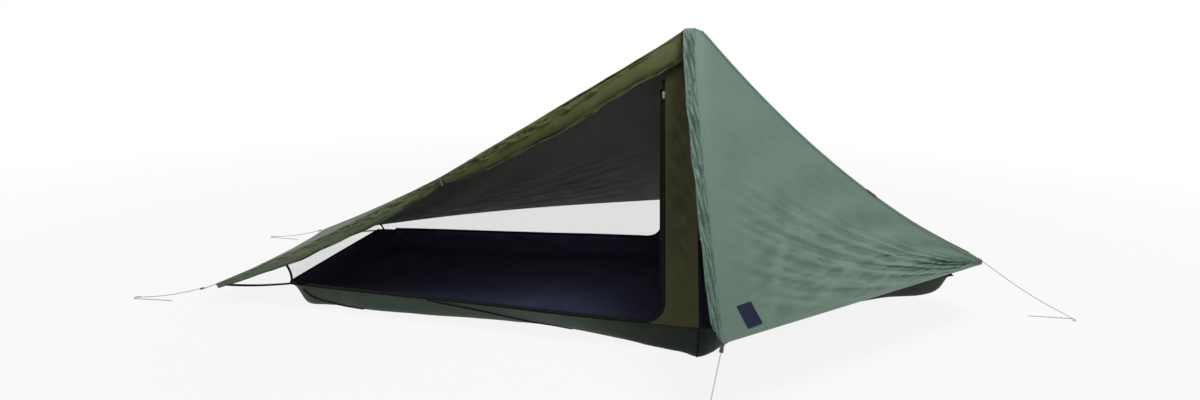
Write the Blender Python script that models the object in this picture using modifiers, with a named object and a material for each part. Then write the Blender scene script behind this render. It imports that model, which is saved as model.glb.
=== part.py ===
"""Trekking pole tent. Metres, +Z up, +X toward the head end, -Y toward the open side.

The origin is on the ground under the peak. The fly hangs from a short ridge strut
that two trekking poles carry, and the inner tent hangs inside it.
"""

import math

import bmesh
import bpy
import numpy as np
from mathutils import Matrix, Vector

# Peak and fly
peak_height = 1.14
peak_half = 0.09
cap_foot_reach = 0.035
cap_foot_drop = 0.015
cap_head_reach = 0.07
cap_head_drop = 0.032
cap_split = 0.02
foot_corner_reach = 1.909
foot_corner_half = 0.418
foot_corner_height = 0.061
foot_seam_sag = 0.064
foot_hem_pull = 0.03
roof_sag = 0.012
head_corner_reach = 1.207
head_corner_half = 0.05
head_corner_height = 0.247
head_seam_sag = 0.091
side_corner_offset = 0.096
side_corner_half = 0.909
side_corner_height = 0.23
corner_depth = 0.015
zip_edge_bow = 0.015
door_hollow = 0.02
door_crease = 0.004
hem_crease = 0.007
fly_cloth = 0.0015
flap_width = 0.05
flap_lift = 0.006
flap_ripple = 0.004
open_edge = 0.014
roll_gap = 0.0006
roll_height = 0.1

# Inner tent
tub_foot_reach = 1.565
tub_foot_lean = 0.055
floor_foot_reach = tub_foot_reach - tub_foot_lean
tub_head_reach = 1.055
tub_head_lean = 0.055
floor_head_reach = tub_head_reach - tub_head_lean
floor_half = 0.56
tub_height = 0.092
head_lift = 0.125
tub_cloth = 0.0014
net_cloth = 0.001
seam_gap = 0.0003
rim_gap = 0.0017
wall_inset = 0.014
wall_drop = 0.0026
foot_net_inset = 0.012
zip_reach = 0.055
zip_top_reach = 0.09
zip_top_share = 0.8158
zip_top_height = peak_height * zip_top_share
door_foot_margin = 0.06
door_foot_reach = tub_foot_reach - door_foot_margin
hinge_foot_margin = 0.055
hinge_foot_reach = door_foot_reach - hinge_foot_margin
hinge_foot_height = 0.175
zip_radius = 0.08
tape_width = 0.012
tape_depth = 0.0022
slider_length = 0.03
slider_width = 0.012
slider_depth = 0.006
strap_width = 0.02
strap_depth = 0.0016
strap_gap = 0.0006
strap_drop = 0.0038

# Poles and ridge strut
pole_foot_offset = 0.055
pole_foot_inset = 0.075
pole_foot_half = floor_half - pole_foot_inset
pole_head_offset = 0.006
pole_head_half = 0.055
tab_length = 0.06
tab_width = 0.05
tab_depth = 0.003
tip_radius = 0.0045
tip_end_radius = 0.002
tip_length = 0.035
basket_radius = 0.024
basket_depth = 0.004
basket_height = 0.05
lower_radius = 0.0065
upper_radius = 0.0085
bore_radius = 0.0069
lower_top = 0.62
upper_bottom = 0.46
clamp_radius = 0.0125
clamp_length = 0.032
lever_length = 0.03
lever_width = 0.012
lever_depth = 0.005
grip_length = 0.135
grip_radius = 0.0155
wrist_strap_width = 0.014
wrist_strap_depth = 0.0016
wrist_strap_length = 0.13
wrist_loop_half = 0.012
wrist_loop_spread = 0.004
cup_radius = 0.02
cup_length = 0.024
cup_wall = 0.003
strut_radius = 0.006
strut_length = 0.148

# Lines, tighteners and pegs
line_radius = 0.0015
lock_length = 0.013
lock_width = 0.011
lock_depth = 0.005
lock_gap = 0.0008
side_peg_reach = 1.22
side_peg_offset = 0.0
foot_peg_reach = 2.226
foot_peg_half = 0.43
head_peg_reach = 1.62
peg_radius = 0.002
peg_length = 0.16
peg_hook = 0.011
toggle_length = 0.038
toggle_radius = 0.0085
toggle_drop = 0.015
tie_radius = 0.0016
patch_depth = 0.0012

# How near two points of a turned piece are before they become one
weld_distance = 0.00001

# Two unit directions whose cross product is shorter than this count as parallel
parallel_limit = 0.01

# Shares along the long seams, from the peak to a corner
foot_shares = np.linspace(0, 1, 25)
head_shares = np.linspace(0, 1, 17)
strap_seam_share = 0.985

# The points of the peak cap's outline: its foot end, its middle and its head end
cap_middle = 3
cap_drop_shares = np.array([1.0, 0.3, 0.0])
cap_foot_shares = np.array([1.0, 0.68, 0.35])
cap_head_shares = np.array([0.35, 0.66, 1.0])

# The bathtub edge on the open side, from the foot to the head: station along the
# floor, half width of the floor and of the wall's top, and lift, as shares.
station_shares = np.array([
    -1.0, -0.913, -0.8, -0.6, -0.43, -0.3, -0.172, -0.06, 0.013, 0.06,
    0.112, 0.15, 0.25, 0.42, 0.6, 0.8, 1.0,
])
floor_edge_shares = np.array([
    0.628, 0.65, 0.685, 0.696, 0.696, 0.72, 0.812, 0.905, 0.955, 1.0,
    0.92, 0.83, 0.64, 0.47, 0.35, 0.27, 0.215,
])
tub_edge_shares = np.array([
    0.705, 0.742, 0.768, 0.807, 0.848, 0.888, 0.915, 0.93, 0.938, 0.946,
    0.915, 0.865, 0.715, 0.545, 0.42, 0.335, 0.268,
])
lift_shares = np.array([0.0] * 13 + [0.16, 0.48, 0.8, 1.0])
tub_rise_shares = np.array([1.0] * 13 + [0.97, 0.95, 0.93, 0.92])
floor_cross_shares = np.array([-1.0, -0.55, 0.0, 0.55, 1.0])
tub_end_shares = np.array([-1.0, -0.75, -0.4, 0.0, 0.4, 0.75, 1.0])
tub_corner_share = 0.35
end_net_corner_share = 0.15
widest_station = 9

# The rolled door: place along the seam and depth of the roll, as shares
roll_place_shares = np.array([
    0.012, 0.04, 0.1, 0.17, 0.25, 0.33, 0.41, 0.465, 0.5, 0.535, 0.64, 0.8, 0.9, 0.975,
])
roll_depth_shares = np.array([0.7, 1.14, 1.06, 1.0, 1.15, 0.93, 0.84, 0.55, 0.33, 0.5, 0.62, 0.54, 0.36, 0.2])
roll_breadth_shares = np.array([0.14, 0.2, 0.3, 0.42, 0.5, 0.5, 0.5, 0.5, 0.5, 0.5, 0.5, 0.5, 0.5, 0.5])
roll_lump_shares = (0.07, 0.05)
roll_lump_rates = (41, 97)
roll_start_share = 0.012
roll_end_share = 0.975
roll_opening = math.radians(152)
tie_place_share = 0.5
tie_opening = math.radians(140)

# Shapes of the flap, the zip and the side panel, as shares
flap_taper_share = 0.15
flap_ripple_count = 11
zip_bow_share = 0.6
tape_end_share = 0.012
tape_turn_share = 1.1
slider_top_row = 0.96
slider_low_row = 0.2
panel_top_shares = np.array([0.91, 1.0])
slope_share = 0.002

# The patch's corners on the head door: place along the door and row down it, as shares
patch_corner_shares = np.array([[0.049, 0.92], [0.09, 0.913], [0.114, 0.977], [0.073, 0.981]])

# A tightener from its tail to its tip: place, width and depth of each section, as shares
lock_place_shares = np.array([0.0, 0.45, 0.5, 0.55, 0.95, 1.0])
lock_width_shares = np.array([0.8, 0.8, 0.9, 1.0, 1.0, 0.85])
lock_depth_shares = np.array([0.3, 0.3, 0.7, 1.0, 1.0, 0.6])

# A grip from its foot to its top: height and radius of each turn, as shares
grip_rise_shares = (0.0, 0.05, 0.2, 0.36, 0.5, 0.66, 0.78, 0.9, 0.97, 1.0)
grip_turn_shares = (0.82, 0.88, 0.78, 0.95, 0.84, 0.97, 0.88, 1.0, 0.95, 0.7)

# A guyline's sag and a peg's straight part and hook
line_sag_share = 0.03
peg_tail_shares = np.array([0.15, 0.4, 0.7, 1.0])
hook_turns = np.linspace(math.radians(-120), math.radians(90), 8)


def material(name, colour, roughness, metallic=0.0):
    made = bpy.data.materials.new(name)
    made.use_nodes = True
    shader = made.node_tree.nodes["Principled BSDF"]
    shader.inputs["Base Color"].default_value = (*colour, 1.0)
    shader.inputs["Roughness"].default_value = roughness
    shader.inputs["Metallic"].default_value = metallic
    made.diffuse_color = (*colour, 1.0)
    return made


def add_object(name, data, finish, where):
    made = bpy.data.objects.new(name, data)
    data.materials.append(finish)
    where.objects.link(made)
    return made


def mesh_object(name, points, faces, finish, where):
    data = bpy.data.meshes.new(name)
    data.from_pydata([tuple(point) for point in points], [], [tuple(face) for face in faces])
    data.update()
    return add_object(name, data, finish, where)


def unit(vectors):
    return vectors / np.linalg.norm(vectors, axis=-1, keepdims=True)


def mirrored(points, side):
    """The points as built on the open side (-1), or turned over to the far side (+1)."""
    return points * np.array([1.0, -side, 1.0])


# The outline of the tent

def sagging(start, end, shares, sag):
    """A seam between two points that hangs lower in its middle."""
    line = start + (end - start) * shares[:, None]
    line[:, 2] -= sag * 4 * shares * (1 - shares)
    return line


def foot_seam(shares):
    start = np.array([-cap_foot_reach, -peak_half, peak_height - cap_foot_drop])
    end = np.array([-foot_corner_reach, -foot_corner_half, foot_corner_height])
    return sagging(start, end, shares, foot_seam_sag)


def head_seam(shares):
    start = np.array([cap_head_reach, -peak_half, peak_height - cap_head_drop])
    end = np.array([head_corner_reach, -head_corner_half, head_corner_height])
    return sagging(start, end, shares, head_seam_sag)


def side_corner():
    return np.array([side_corner_offset, -side_corner_half, side_corner_height])


def cap_profile():
    """The outer line of the peak cap, from its foot seam to its head seam, at the open side."""
    foot_side = np.stack([
        -cap_foot_reach * cap_foot_shares,
        np.full(cap_middle, -peak_half),
        peak_height - cap_foot_drop * cap_drop_shares,
    ], axis=1)
    head_side = np.stack([
        cap_head_reach * cap_head_shares,
        np.full(cap_middle, -peak_half),
        peak_height - cap_head_drop * cap_drop_shares[::-1],
    ], axis=1)
    middle = np.array([[cap_split, -peak_half, peak_height]])
    return np.concatenate([foot_side, middle, head_side])


def zip_edge(shares):
    """The edge where the two fly doors of one side meet, from the cap to the side corner."""
    start = np.array([cap_split, -peak_half, peak_height])
    line = start + (side_corner() - start) * shares[:, None]
    line[:, 0] -= zip_edge_bow * np.sin(math.pi * shares ** zip_bow_share)
    return line


# Cloth

def surface_normals(grid, turn):
    along = np.gradient(grid, axis=0)
    across = np.gradient(grid, axis=1)
    return unit(np.cross(along, across)) * turn


def pulled_in(grid, edges, distance):
    """The grid with the named edges moved into the cloth by a distance."""
    made = grid.copy()
    if "start" in edges:
        made[0] += unit(grid[1] - grid[0]) * distance
    if "end" in edges:
        made[-1] += unit(grid[-2] - grid[-1]) * distance
    if "low" in edges:
        made[:, 0] += unit(grid[:, 1] - grid[:, 0]) * distance
    if "high" in edges:
        made[:, -1] += unit(grid[:, -2] - grid[:, -1]) * distance
    return made


def cloth(name, grid, normals, thickness, finish, where):
    """A sheet of cloth as one closed body around a grid of points.

    Both of its sides are split into triangles along the same diagonals, so that they
    stay a thickness apart where the cloth twists.
    """
    rows, columns = grid.shape[:2]
    outer = (grid + normals * thickness / 2).reshape(-1, 3)
    inner = (grid - normals * thickness / 2).reshape(-1, 3)
    count = rows * columns
    index = np.arange(count).reshape(rows, columns)
    quads = np.stack([index[:-1, :-1], index[1:, :-1], index[1:, 1:], index[:-1, 1:]], axis=-1).reshape(-1, 4)
    halves = np.concatenate([quads[:, [0, 1, 2]], quads[:, [0, 2, 3]]])
    rim = np.concatenate([index[:-1, 0], index[-1, :-1], index[:0:-1, -1], index[0, :0:-1]])
    after = np.roll(rim, -1)
    first = np.stack([after, rim, rim + count], axis=1)
    second = np.stack([after, rim + count, after + count], axis=1)
    faces = np.concatenate([halves, halves[:, ::-1] + count, first, second])
    made = mesh_object(name, np.concatenate([outer, inner]), faces, finish, where)
    face_outward(made)
    return made


def face_outward(made):
    shape = bmesh.new()
    shape.from_mesh(made.data)
    bmesh.ops.recalc_face_normals(shape, faces=shape.faces)
    shape.to_mesh(made.data)
    shape.free()


def loft(name, rings, finish, where):
    """A closed body through rings of points, with both ends filled."""
    rings = np.asarray(rings)
    count, sides = rings.shape[:2]
    index = np.arange(count * sides).reshape(count, sides)
    ahead = np.roll(index, -1, axis=1)
    faces = np.stack([index[:-1], ahead[:-1], ahead[1:], index[1:]], axis=-1).reshape(-1, 4).tolist()
    faces += [index[0, ::-1].tolist(), index[-1].tolist()]
    made = mesh_object(name, rings.reshape(-1, 3), faces, finish, where)
    face_outward(made)
    return made


def joined_normals(first, second):
    return unit(first + second)


def roof_foot_grid():
    near = foot_seam(foot_shares)
    far = mirrored(near, 1)
    across = np.linspace(0, 1, 9)
    grid = near[:, None] * (1 - across)[None, :, None] + far[:, None] * across[None, :, None]
    belly = 4 * across * (1 - across)
    grid[:, :, 2] -= roof_sag * np.sin(math.pi * foot_shares)[:, None] * belly[None]
    grid[:, :, 0] += foot_hem_pull * foot_shares[:, None] ** 6 * belly[None]
    return grid


def roof_head_grid():
    near = head_seam(head_shares)
    far = mirrored(near, 1)
    across = np.linspace(0, 1, 5)
    return near[:, None] * (1 - across)[None, :, None] + far[:, None] * across[None, :, None]


def cap_grid():
    near = cap_profile()
    far = mirrored(near, 1)
    across = np.linspace(0, 1, 5)
    return near[:, None] * (1 - across)[None, :, None] + far[:, None] * across[None, :, None]


def door_rows():
    return np.linspace(0, 1, 11)


def head_door_grid():
    """From the zipped edge to the head corner, and from the seam down to the hem."""
    top = np.concatenate([cap_profile()[cap_middle:-1], head_seam(head_shares)])
    low_end = head_seam(np.array([1.0]))[0] - np.array([0, 0, corner_depth])
    places = (top[:, 0] - top[0, 0]) / (top[-1, 0] - top[0, 0])
    hem = side_corner() + (low_end - side_corner()) * places[:, None]
    rows = door_rows()
    grid = top[:, None] * (1 - rows)[None, :, None] + hem[:, None] * rows[None, :, None]
    edge_bow = zip_edge(rows) - (top[0] + (hem[0] - top[0]) * rows[:, None])
    grid += edge_bow[None] * (1 - places)[:, None, None] ** 3
    outward = surface_normals(grid, -1)
    swell = np.sin(math.pi * places)[:, None] * np.sin(math.pi * rows)[None]
    creases = np.cos(9 * math.pi * places[:, None] + 5 * math.pi * rows[None]) * swell
    low_creases = np.cos(17 * math.pi * places[:, None] - 6 * rows[None]) * swell * rows[None] ** 3
    push = -door_hollow * swell + door_crease * creases + hem_crease * low_creases
    return grid + outward * push[:, :, None]


def foot_door_grid():
    """The closed foot door of the far side, drawn on the open side and turned over later."""
    top = np.concatenate([cap_profile()[cap_middle:0:-1], foot_seam(foot_shares)])
    low_end = foot_seam(np.array([1.0]))[0] - np.array([0, 0, corner_depth])
    places = (top[0, 0] - top[:, 0]) / (top[0, 0] - top[-1, 0])
    hem = side_corner() + (low_end - side_corner()) * places[:, None]
    rows = door_rows()
    grid = top[:, None] * (1 - rows)[None, :, None] + hem[:, None] * rows[None, :, None]
    edge_bow = zip_edge(rows) - (top[0] + (hem[0] - top[0]) * rows[:, None])
    grid += edge_bow[None] * (1 - places)[:, None, None] ** 3
    outward = surface_normals(grid, 1)
    swell = np.sin(math.pi * places)[:, None] * np.sin(math.pi * rows)[None]
    creases = np.cos(8 * math.pi * places[:, None] - 4 * math.pi * rows[None]) * swell
    return grid + outward * (-door_hollow * swell + door_crease * creases)[:, :, None]


def flap_grid(door, normals):
    """The storm flap, which carries on from the head door's zipped edge over the foot door."""
    edge = door[0]
    into_door = unit(door[1] - door[0])
    across = np.linspace(0, 1, 5)
    rows = door_rows()
    width = flap_width * (1 - flap_taper_share * rows)
    flat = -into_door * width[:, None]
    grid = edge[None] + flat[None] * across[:, None, None]
    lift = flap_lift * np.sin(0.5 * math.pi * across)[:, None]
    waves = np.sin(flap_ripple_count * math.pi * rows) * np.sin(math.pi * rows)
    ripple = flap_ripple * across[:, None] * waves[None]
    return grid + normals[0][None] * (lift + ripple)[:, :, None]


# Inner tent curves

def stations():
    return np.where(station_shares < 0, station_shares * floor_foot_reach, station_shares * floor_head_reach)


def floor_edge():
    half = -floor_half * floor_edge_shares
    return np.stack([stations(), half, head_lift * lift_shares], axis=1)


def tub_edge():
    """The top edge of the bathtub wall on the open side, without its two end corners."""
    low = floor_edge()
    half = -floor_half * tub_edge_shares
    edge = np.stack([low[:, 0], half, low[:, 2] + tub_height * tub_rise_shares], axis=1)
    edge[0, 0] = -tub_foot_reach
    edge[-1, 0] = tub_head_reach
    return edge


def tub_grid():
    low = floor_edge()
    top = tub_edge()
    rows = []
    for place in range(len(low)):
        middle = np.stack([
            np.full(len(floor_cross_shares), low[place, 0]),
            -low[place, 1] * floor_cross_shares,
            np.full(len(floor_cross_shares), low[place, 2]),
        ], axis=1)
        near = top[place].copy()
        if place == 0:
            near = top[0] + (top[1] - top[0]) * tub_corner_share
        if place == len(low) - 1:
            near = top[-1] + (top[-2] - top[-1]) * tub_corner_share
        far = mirrored(near, 1)
        rows.append(np.concatenate([near[None], middle, far[None]]))
    ends = []
    for corner in (top[0], top[-1]):
        ends.append(np.stack([
            np.full(len(tub_end_shares), corner[0]),
            -corner[1] * tub_end_shares,
            np.full(len(tub_end_shares), corner[2]),
        ], axis=1))
    return np.stack([ends[0], *rows, ends[1]])


def along(curve, values, axis=0):
    """Points of a curve at given values of one coordinate."""
    return np.stack([np.interp(values, curve[:, axis], curve[:, k]) for k in range(3)], axis=1)


def wall_head_point(place):
    """Where the inner wall meets the roof, inboard of the seam: the foot or the head half."""
    foot = foot_seam(np.linspace(0, 1, 97))[::-1]
    head = head_seam(np.linspace(0, 1, 97))
    curve = np.concatenate([foot, cap_profile()[1:-1], head])
    made = along(curve, place)
    made[:, 1] += wall_inset
    made[:, 2] -= wall_drop + fly_cloth
    return made


door_columns = np.linspace(0, 1, 11)
corner_turns = np.linspace(math.pi / 2, 0, 7)
upper_row_shares = np.array([0.24, 0.43, 0.62, 0.81, 1.0])
zip_row_share = 0.82


def hinge_line(shares):
    """The straight line that a netting door swings on, from the foot to the zip."""
    bottom = along(tub_edge(), np.array([-door_foot_reach, -zip_reach]))
    top = wall_head_point(np.array([-hinge_foot_reach, -zip_top_reach]))
    heights = np.array([hinge_foot_height, zip_top_height])
    part = (heights - bottom[:, 2]) / (top[:, 2] - bottom[:, 2])
    ends = bottom + (top - bottom) * part[:, None]
    ends[:, 0] = (-hinge_foot_reach, -zip_top_reach)
    return ends[0] + (ends[1] - ends[0]) * np.asarray(shares)[:, None]


def wall_point(columns, rows):
    """Points of the door's own surface: columns run foot to zip, rows run up to the hinge."""
    low = along(tub_edge(), -door_foot_reach + (door_foot_reach - zip_reach) * columns)
    low[:, 2] += rim_gap
    high = hinge_line(columns)
    return low + (high - low) * rows[:, None]


def wall_spans():
    """The door's height at the zip and its length at the foot of the wall."""
    height = np.linalg.norm(wall_point(np.ones(1), np.ones(1)) - wall_point(np.ones(1), np.zeros(1)))
    length = np.linalg.norm(wall_point(np.ones(1), np.zeros(1)) - wall_point(np.zeros(1), np.zeros(1)))
    return height, length


def zip_rows(radius):
    """Rows that meet the zip's rounded corner at even turns, then go on up the straight run."""
    height, _ = wall_spans()
    return np.concatenate([(zip_radius - radius * np.sin(corner_turns)) / height, upper_row_shares])


def rounded_column(rows, radius):
    """The column where the zip's curve of a given radius crosses each row."""
    height, length = wall_spans()
    below = np.clip(zip_radius - rows * height, 0, radius)
    reach = np.sqrt(radius ** 2 - below ** 2)
    return 1 - (zip_radius - reach) / length


def wall_heights():
    """The length of the wall, up its slope, at each of the door's columns."""
    count = len(door_columns)
    rise = wall_point(door_columns, np.ones(count)) - wall_point(door_columns, np.zeros(count))
    return np.linalg.norm(rise, axis=1)


def net_door_grid():
    """The netting door, from the foot corner to the zip, with its corner rounded."""
    height, _ = wall_spans()
    inset = tape_width + 2 * seam_gap
    radius = zip_radius - inset
    right_rows = zip_rows(radius)
    last_columns = rounded_column(right_rows, radius)
    grid = np.empty((len(door_columns), len(right_rows), 3))
    for k, right_row in enumerate(right_rows):
        share = (right_row - inset / height) / (1 - inset / height)
        columns = door_columns * last_columns[k]
        start = inset / np.interp(columns, door_columns, wall_heights())
        grid[:, k] = wall_point(columns, start + (1 - start) * share)
    return grid


def tape_grid():
    """The zip's tape, from its top, down, round the corner and along the bathtub."""
    height, length = wall_spans()
    rows = np.concatenate([upper_row_shares[::-1], [zip_radius / height * tape_turn_share]])
    run = np.linspace(1 - zip_radius / length, tape_end_share, 11)[1:]
    sides = []
    for inset in (seam_gap, tape_width + seam_gap):
        radius = zip_radius - inset
        upper = wall_point(np.full(len(rows), 1 - inset / length), rows)
        columns = 1 - (zip_radius - radius * np.cos(corner_turns[::-1])) / length
        corner = wall_point(columns, (zip_radius - radius * np.sin(corner_turns[::-1])) / height)
        lower = wall_point(run, inset / np.interp(run, door_columns, wall_heights()))
        sides.append(np.concatenate([upper, corner, lower]))
    return np.stack(sides, axis=1)


def tall_rows():
    """Rows of the side panel: up the zip, then on past the hinge to the roof."""
    return np.concatenate([zip_rows(zip_radius) * zip_row_share, panel_top_shares])


def mid_line(rows):
    """Where the side panel meets the head netting, from the bathtub's peak corner up."""
    low = tub_edge()[widest_station][None].copy()
    low[:, 2] += rim_gap
    high = wall_head_point(np.array([cap_split]))
    return low + (high - low) * rows[:, None]


def side_panel_grid():
    rows = tall_rows()
    places = np.clip(rows / zip_row_share, 0, 1)
    left = wall_point(rounded_column(places, zip_radius), places)
    above = np.clip((rows - zip_row_share) / (1 - zip_row_share), 0, 1)
    roof = wall_head_point(np.array([-zip_top_reach]))
    left += (roof - left) * above[:, None]
    right = mid_line(rows)
    across = np.linspace(0, 1, 4)
    return left[None] * (1 - across)[:, None, None] + right[None] * across[:, None, None]


def head_net_grid():
    """The head netting, from the head to the side panel: two columns for each station of the bathtub."""
    edge = tub_edge()
    last = len(edge) - 1
    places = np.linspace(widest_station, last, 2 * (last - widest_station) + 1)
    places[-1] -= end_net_corner_share
    low = np.stack([np.interp(places, np.arange(last + 1), edge[:, k]) for k in range(3)], axis=1)
    low[:, 2] += rim_gap
    reach = (low[:, 0] - low[0, 0]) / (low[-1, 0] - low[0, 0])
    high = wall_head_point(cap_split + (tub_head_reach - 2 * foot_net_inset - cap_split) * reach)
    rows = np.linspace(0, 1, 7)
    grid = low[:, None] * (1 - rows)[None, :, None] + high[:, None] * rows[None, :, None]
    grid[0] = mid_line(rows)
    return grid[::-1]


def top_net_grid():
    """The fixed netting above the door: it runs down the foot corner and along the hinge."""
    columns = door_columns
    hinge = hinge_line(columns)
    roof = wall_head_point(hinge[:, 0])
    foot = along(tub_edge(), np.array([-tub_foot_reach + foot_net_inset, -door_foot_reach - seam_gap]))
    foot[:, 2] += rim_gap
    foot_roof = wall_head_point(np.array([-tub_foot_reach + 2 * foot_net_inset, -door_foot_reach + foot_net_inset]))
    low = np.concatenate([foot, hinge])
    high = np.concatenate([foot_roof, roof])
    rows = np.linspace(0, 1, 4)
    grid = low[:, None] * (1 - rows)[None, :, None] + high[:, None] * rows[None, :, None]
    return grid


def end_net_grid(reach, columns):
    """A small netting wall between the bathtub's end and the roof."""
    sign = 1 if reach > 0 else -1
    inside = reach - sign * 2 * foot_net_inset
    low = along(tub_edge(), np.array([reach - sign * net_cloth]))[0]
    high = wall_head_point(np.array([inside]))[0]
    across = np.linspace(-1, 1, columns)
    rows = np.linspace(0, 1, 4)
    bottom = np.stack([
        np.full(columns, reach), (-low[1] - foot_net_inset) * across,
        np.full(columns, low[2] + rim_gap),
    ], axis=1)
    top = np.stack([
        np.full(columns, inside), (-high[1] - foot_net_inset) * across,
        np.full(columns, high[2] - roof_sag - wall_drop),
    ], axis=1)
    return bottom[:, None] * (1 - rows)[None, :, None] + top[:, None] * rows[None, :, None]


# Small hardware

def tube(name, points, radius, finish, where, closed=False):
    data = bpy.data.curves.new(name, "CURVE")
    data.dimensions = "3D"
    data.bevel_depth = radius
    data.bevel_resolution = 2
    data.use_fill_caps = True
    spline = data.splines.new("POLY")
    spline.points.add(len(points) - 1)
    for point, place in zip(spline.points, points):
        point.co = (*place, 1.0)
    spline.use_cyclic_u = closed
    return add_object(name, data, finish, where)


def lathe(name, profile, placed, finish, where, steps=20):
    """A turned piece: (radius, height) pairs from one end to the other, about its own Z."""
    data = bpy.data.meshes.new(name)
    points = [(radius, 0.0, height) for radius, height in profile]
    data.from_pydata(points, [(k + 1, k) for k in range(len(points) - 1)], [])
    made = add_object(name, data, finish, where)
    made.matrix_world = placed
    screw = made.modifiers.new("Turned", "SCREW")
    screw.steps = steps
    screw.render_steps = steps
    screw.use_merge_vertices = True
    screw.merge_threshold = weld_distance
    return made


def box(name, size, placed, finish, where, rounding):
    data = bpy.data.meshes.new(name)
    shape = bmesh.new()
    bmesh.ops.create_cube(shape, size=1.0, matrix=Matrix.Diagonal((*size, 1.0)))
    shape.to_mesh(data)
    shape.free()
    made = add_object(name, data, finish, where)
    made.matrix_world = placed
    bevel = made.modifiers.new("Rounded", "BEVEL")
    bevel.width = rounding
    bevel.segments = 2
    bevel.limit_method = "ANGLE"
    return made


def pointing(origin, direction, across=(0.0, 0.0, 1.0)):
    """A placement whose Z follows the direction and whose X leans away from `across`."""
    ahead = Vector(direction).normalized()
    side = Vector(across).cross(ahead)
    if side.length < parallel_limit:
        side = Vector((1.0, 0.0, 0.0)).cross(ahead)
    side.normalize()
    third = ahead.cross(side)
    turned = Matrix((side, third, ahead)).transposed().to_4x4()
    turned.translation = Vector(origin)
    return turned


def flat_strip(name, points, flat, width, thickness, finish, where):
    """A webbing strip along a line of points. `flat` is the strip's own normal at each point."""
    points = np.asarray(points)
    ahead = unit(np.gradient(points, axis=0))
    normals = unit(flat - ahead * np.sum(flat * ahead, axis=1, keepdims=True))
    beside = np.cross(ahead, normals)
    rings = [
        points + beside * width / 2 + normals * thickness / 2,
        points - beside * width / 2 + normals * thickness / 2,
        points - beside * width / 2 - normals * thickness / 2,
        points + beside * width / 2 - normals * thickness / 2,
    ]
    return loft(name, np.stack(rings, axis=1), finish, where)


def build_fly(tent, finish):
    cap = cap_grid()
    roof_foot = roof_foot_grid()
    roof_head = roof_head_grid()
    head_door = head_door_grid()
    foot_door = foot_door_grid()
    normals = {
        "cap": surface_normals(cap, 1),
        "roof_foot": surface_normals(roof_foot, -1),
        "roof_head": surface_normals(roof_head, 1),
        "head_door": surface_normals(head_door, -1),
        "foot_door": surface_normals(foot_door, 1),
    }
    half = seam_gap / 2

    # Neighbouring panels share the lean of their seam, so their edges meet without crossing.
    foot_middle = joined_normals(normals["cap"][0], normals["roof_foot"][0, ::2])
    head_middle = joined_normals(normals["cap"][-1], normals["roof_head"][0])
    normals["cap"][0] = foot_middle
    normals["cap"][-1] = head_middle
    normals["roof_head"][0] = head_middle
    normals["roof_foot"][0, ::2] = foot_middle
    normals["roof_foot"][0, 1::2] = unit(foot_middle[:-1] + foot_middle[1:])
    lean = joined_normals(normals["roof_head"][:, 0], normals["head_door"][-len(head_shares):, 0])
    far_lean = mirrored(lean, 1)
    normals["roof_head"][:, 0] = lean
    normals["roof_head"][:, -1] = far_lean
    normals["head_door"][-len(head_shares):, 0] = lean
    far_foot = joined_normals(mirrored(normals["roof_foot"][:, -1], 1), normals["foot_door"][-len(foot_shares):, 0])
    normals["roof_foot"][:, -1] = mirrored(far_foot, 1)
    normals["foot_door"][-len(foot_shares):, 0] = far_foot
    cap_edge = normals["cap"][:, 0].copy()
    for place in range(cap_middle):
        k = cap_middle + place
        lean = joined_normals(cap_edge[k], normals["head_door"][place, 0])
        normals["head_door"][place, 0] = lean
        normals["cap"][k, 0] = lean
        normals["cap"][k, -1] = mirrored(lean, 1)
    for place in range(1, cap_middle):
        k = cap_middle - place
        lean = joined_normals(cap_edge[k], normals["foot_door"][place, 0])
        normals["foot_door"][place, 0] = lean
        normals["cap"][k, -1] = mirrored(lean, 1)

    def panel(name, grid, key, edges, where_side, colour):
        placed = pulled_in(grid, edges, half)
        return cloth(
            name, mirrored(placed, where_side), mirrored(normals[key], where_side),
            fly_cloth, finish[colour], tent,
        )

    panel("peak_cap", cap, "cap", ("start", "end", "low", "high"), -1, "roof")
    panel("fly_roof_foot", roof_foot, "roof_foot", ("start", "low", "high"), -1, "roof")
    panel("fly_roof_head", roof_head, "roof_head", ("start", "low", "high"), -1, "roof")
    panel("near_head_door", head_door, "head_door", ("start", "low"), -1, "sage")
    panel("far_head_door", head_door, "head_door", ("start", "low"), 1, "sage")
    open_door = pulled_in(foot_door, ("start",), open_edge)
    placed = pulled_in(open_door, ("low",), half)
    cloth(
        "far_foot_door", mirrored(placed, 1), mirrored(normals["foot_door"], 1),
        fly_cloth, finish["sage"], tent,
    )

    flap = flap_grid(head_door, normals["head_door"])
    flap_lean = surface_normals(flap, 1)
    if np.sum(flap_lean[2, 5] * normals["head_door"][0, 5]) < 0:
        flap_lean = -flap_lean
    flap_lean[0] = normals["head_door"][0]
    flap = pulled_in(flap, ("start", "low"), half)
    flap = pulled_in(flap, ("low",), 4 * fly_cloth)
    for side, name in ((-1, "near_storm_flap"), (1, "far_storm_flap")):
        cloth(name, mirrored(flap, side), mirrored(flap_lean, side), fly_cloth, finish["flap"], tent)

    return head_door, normals["head_door"]


def roll_frame(shares):
    """Seam point, downward direction along the inner wall, and outward direction."""
    seam = foot_seam(shares)
    low = along(tub_edge(), np.clip(seam[:, 0], -tub_foot_reach, None))
    down = unit(low - seam)
    ahead = unit(foot_seam(shares + slope_share) - foot_seam(shares - slope_share))
    outward = unit(np.cross(ahead, down))
    outward *= np.where(outward[:, 1:2] > 0, -1.0, 1.0)
    down = unit(np.cross(outward, ahead))
    down *= np.where(down[:, 2:3] > 0, -1.0, 1.0)
    return seam, down, outward


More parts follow.
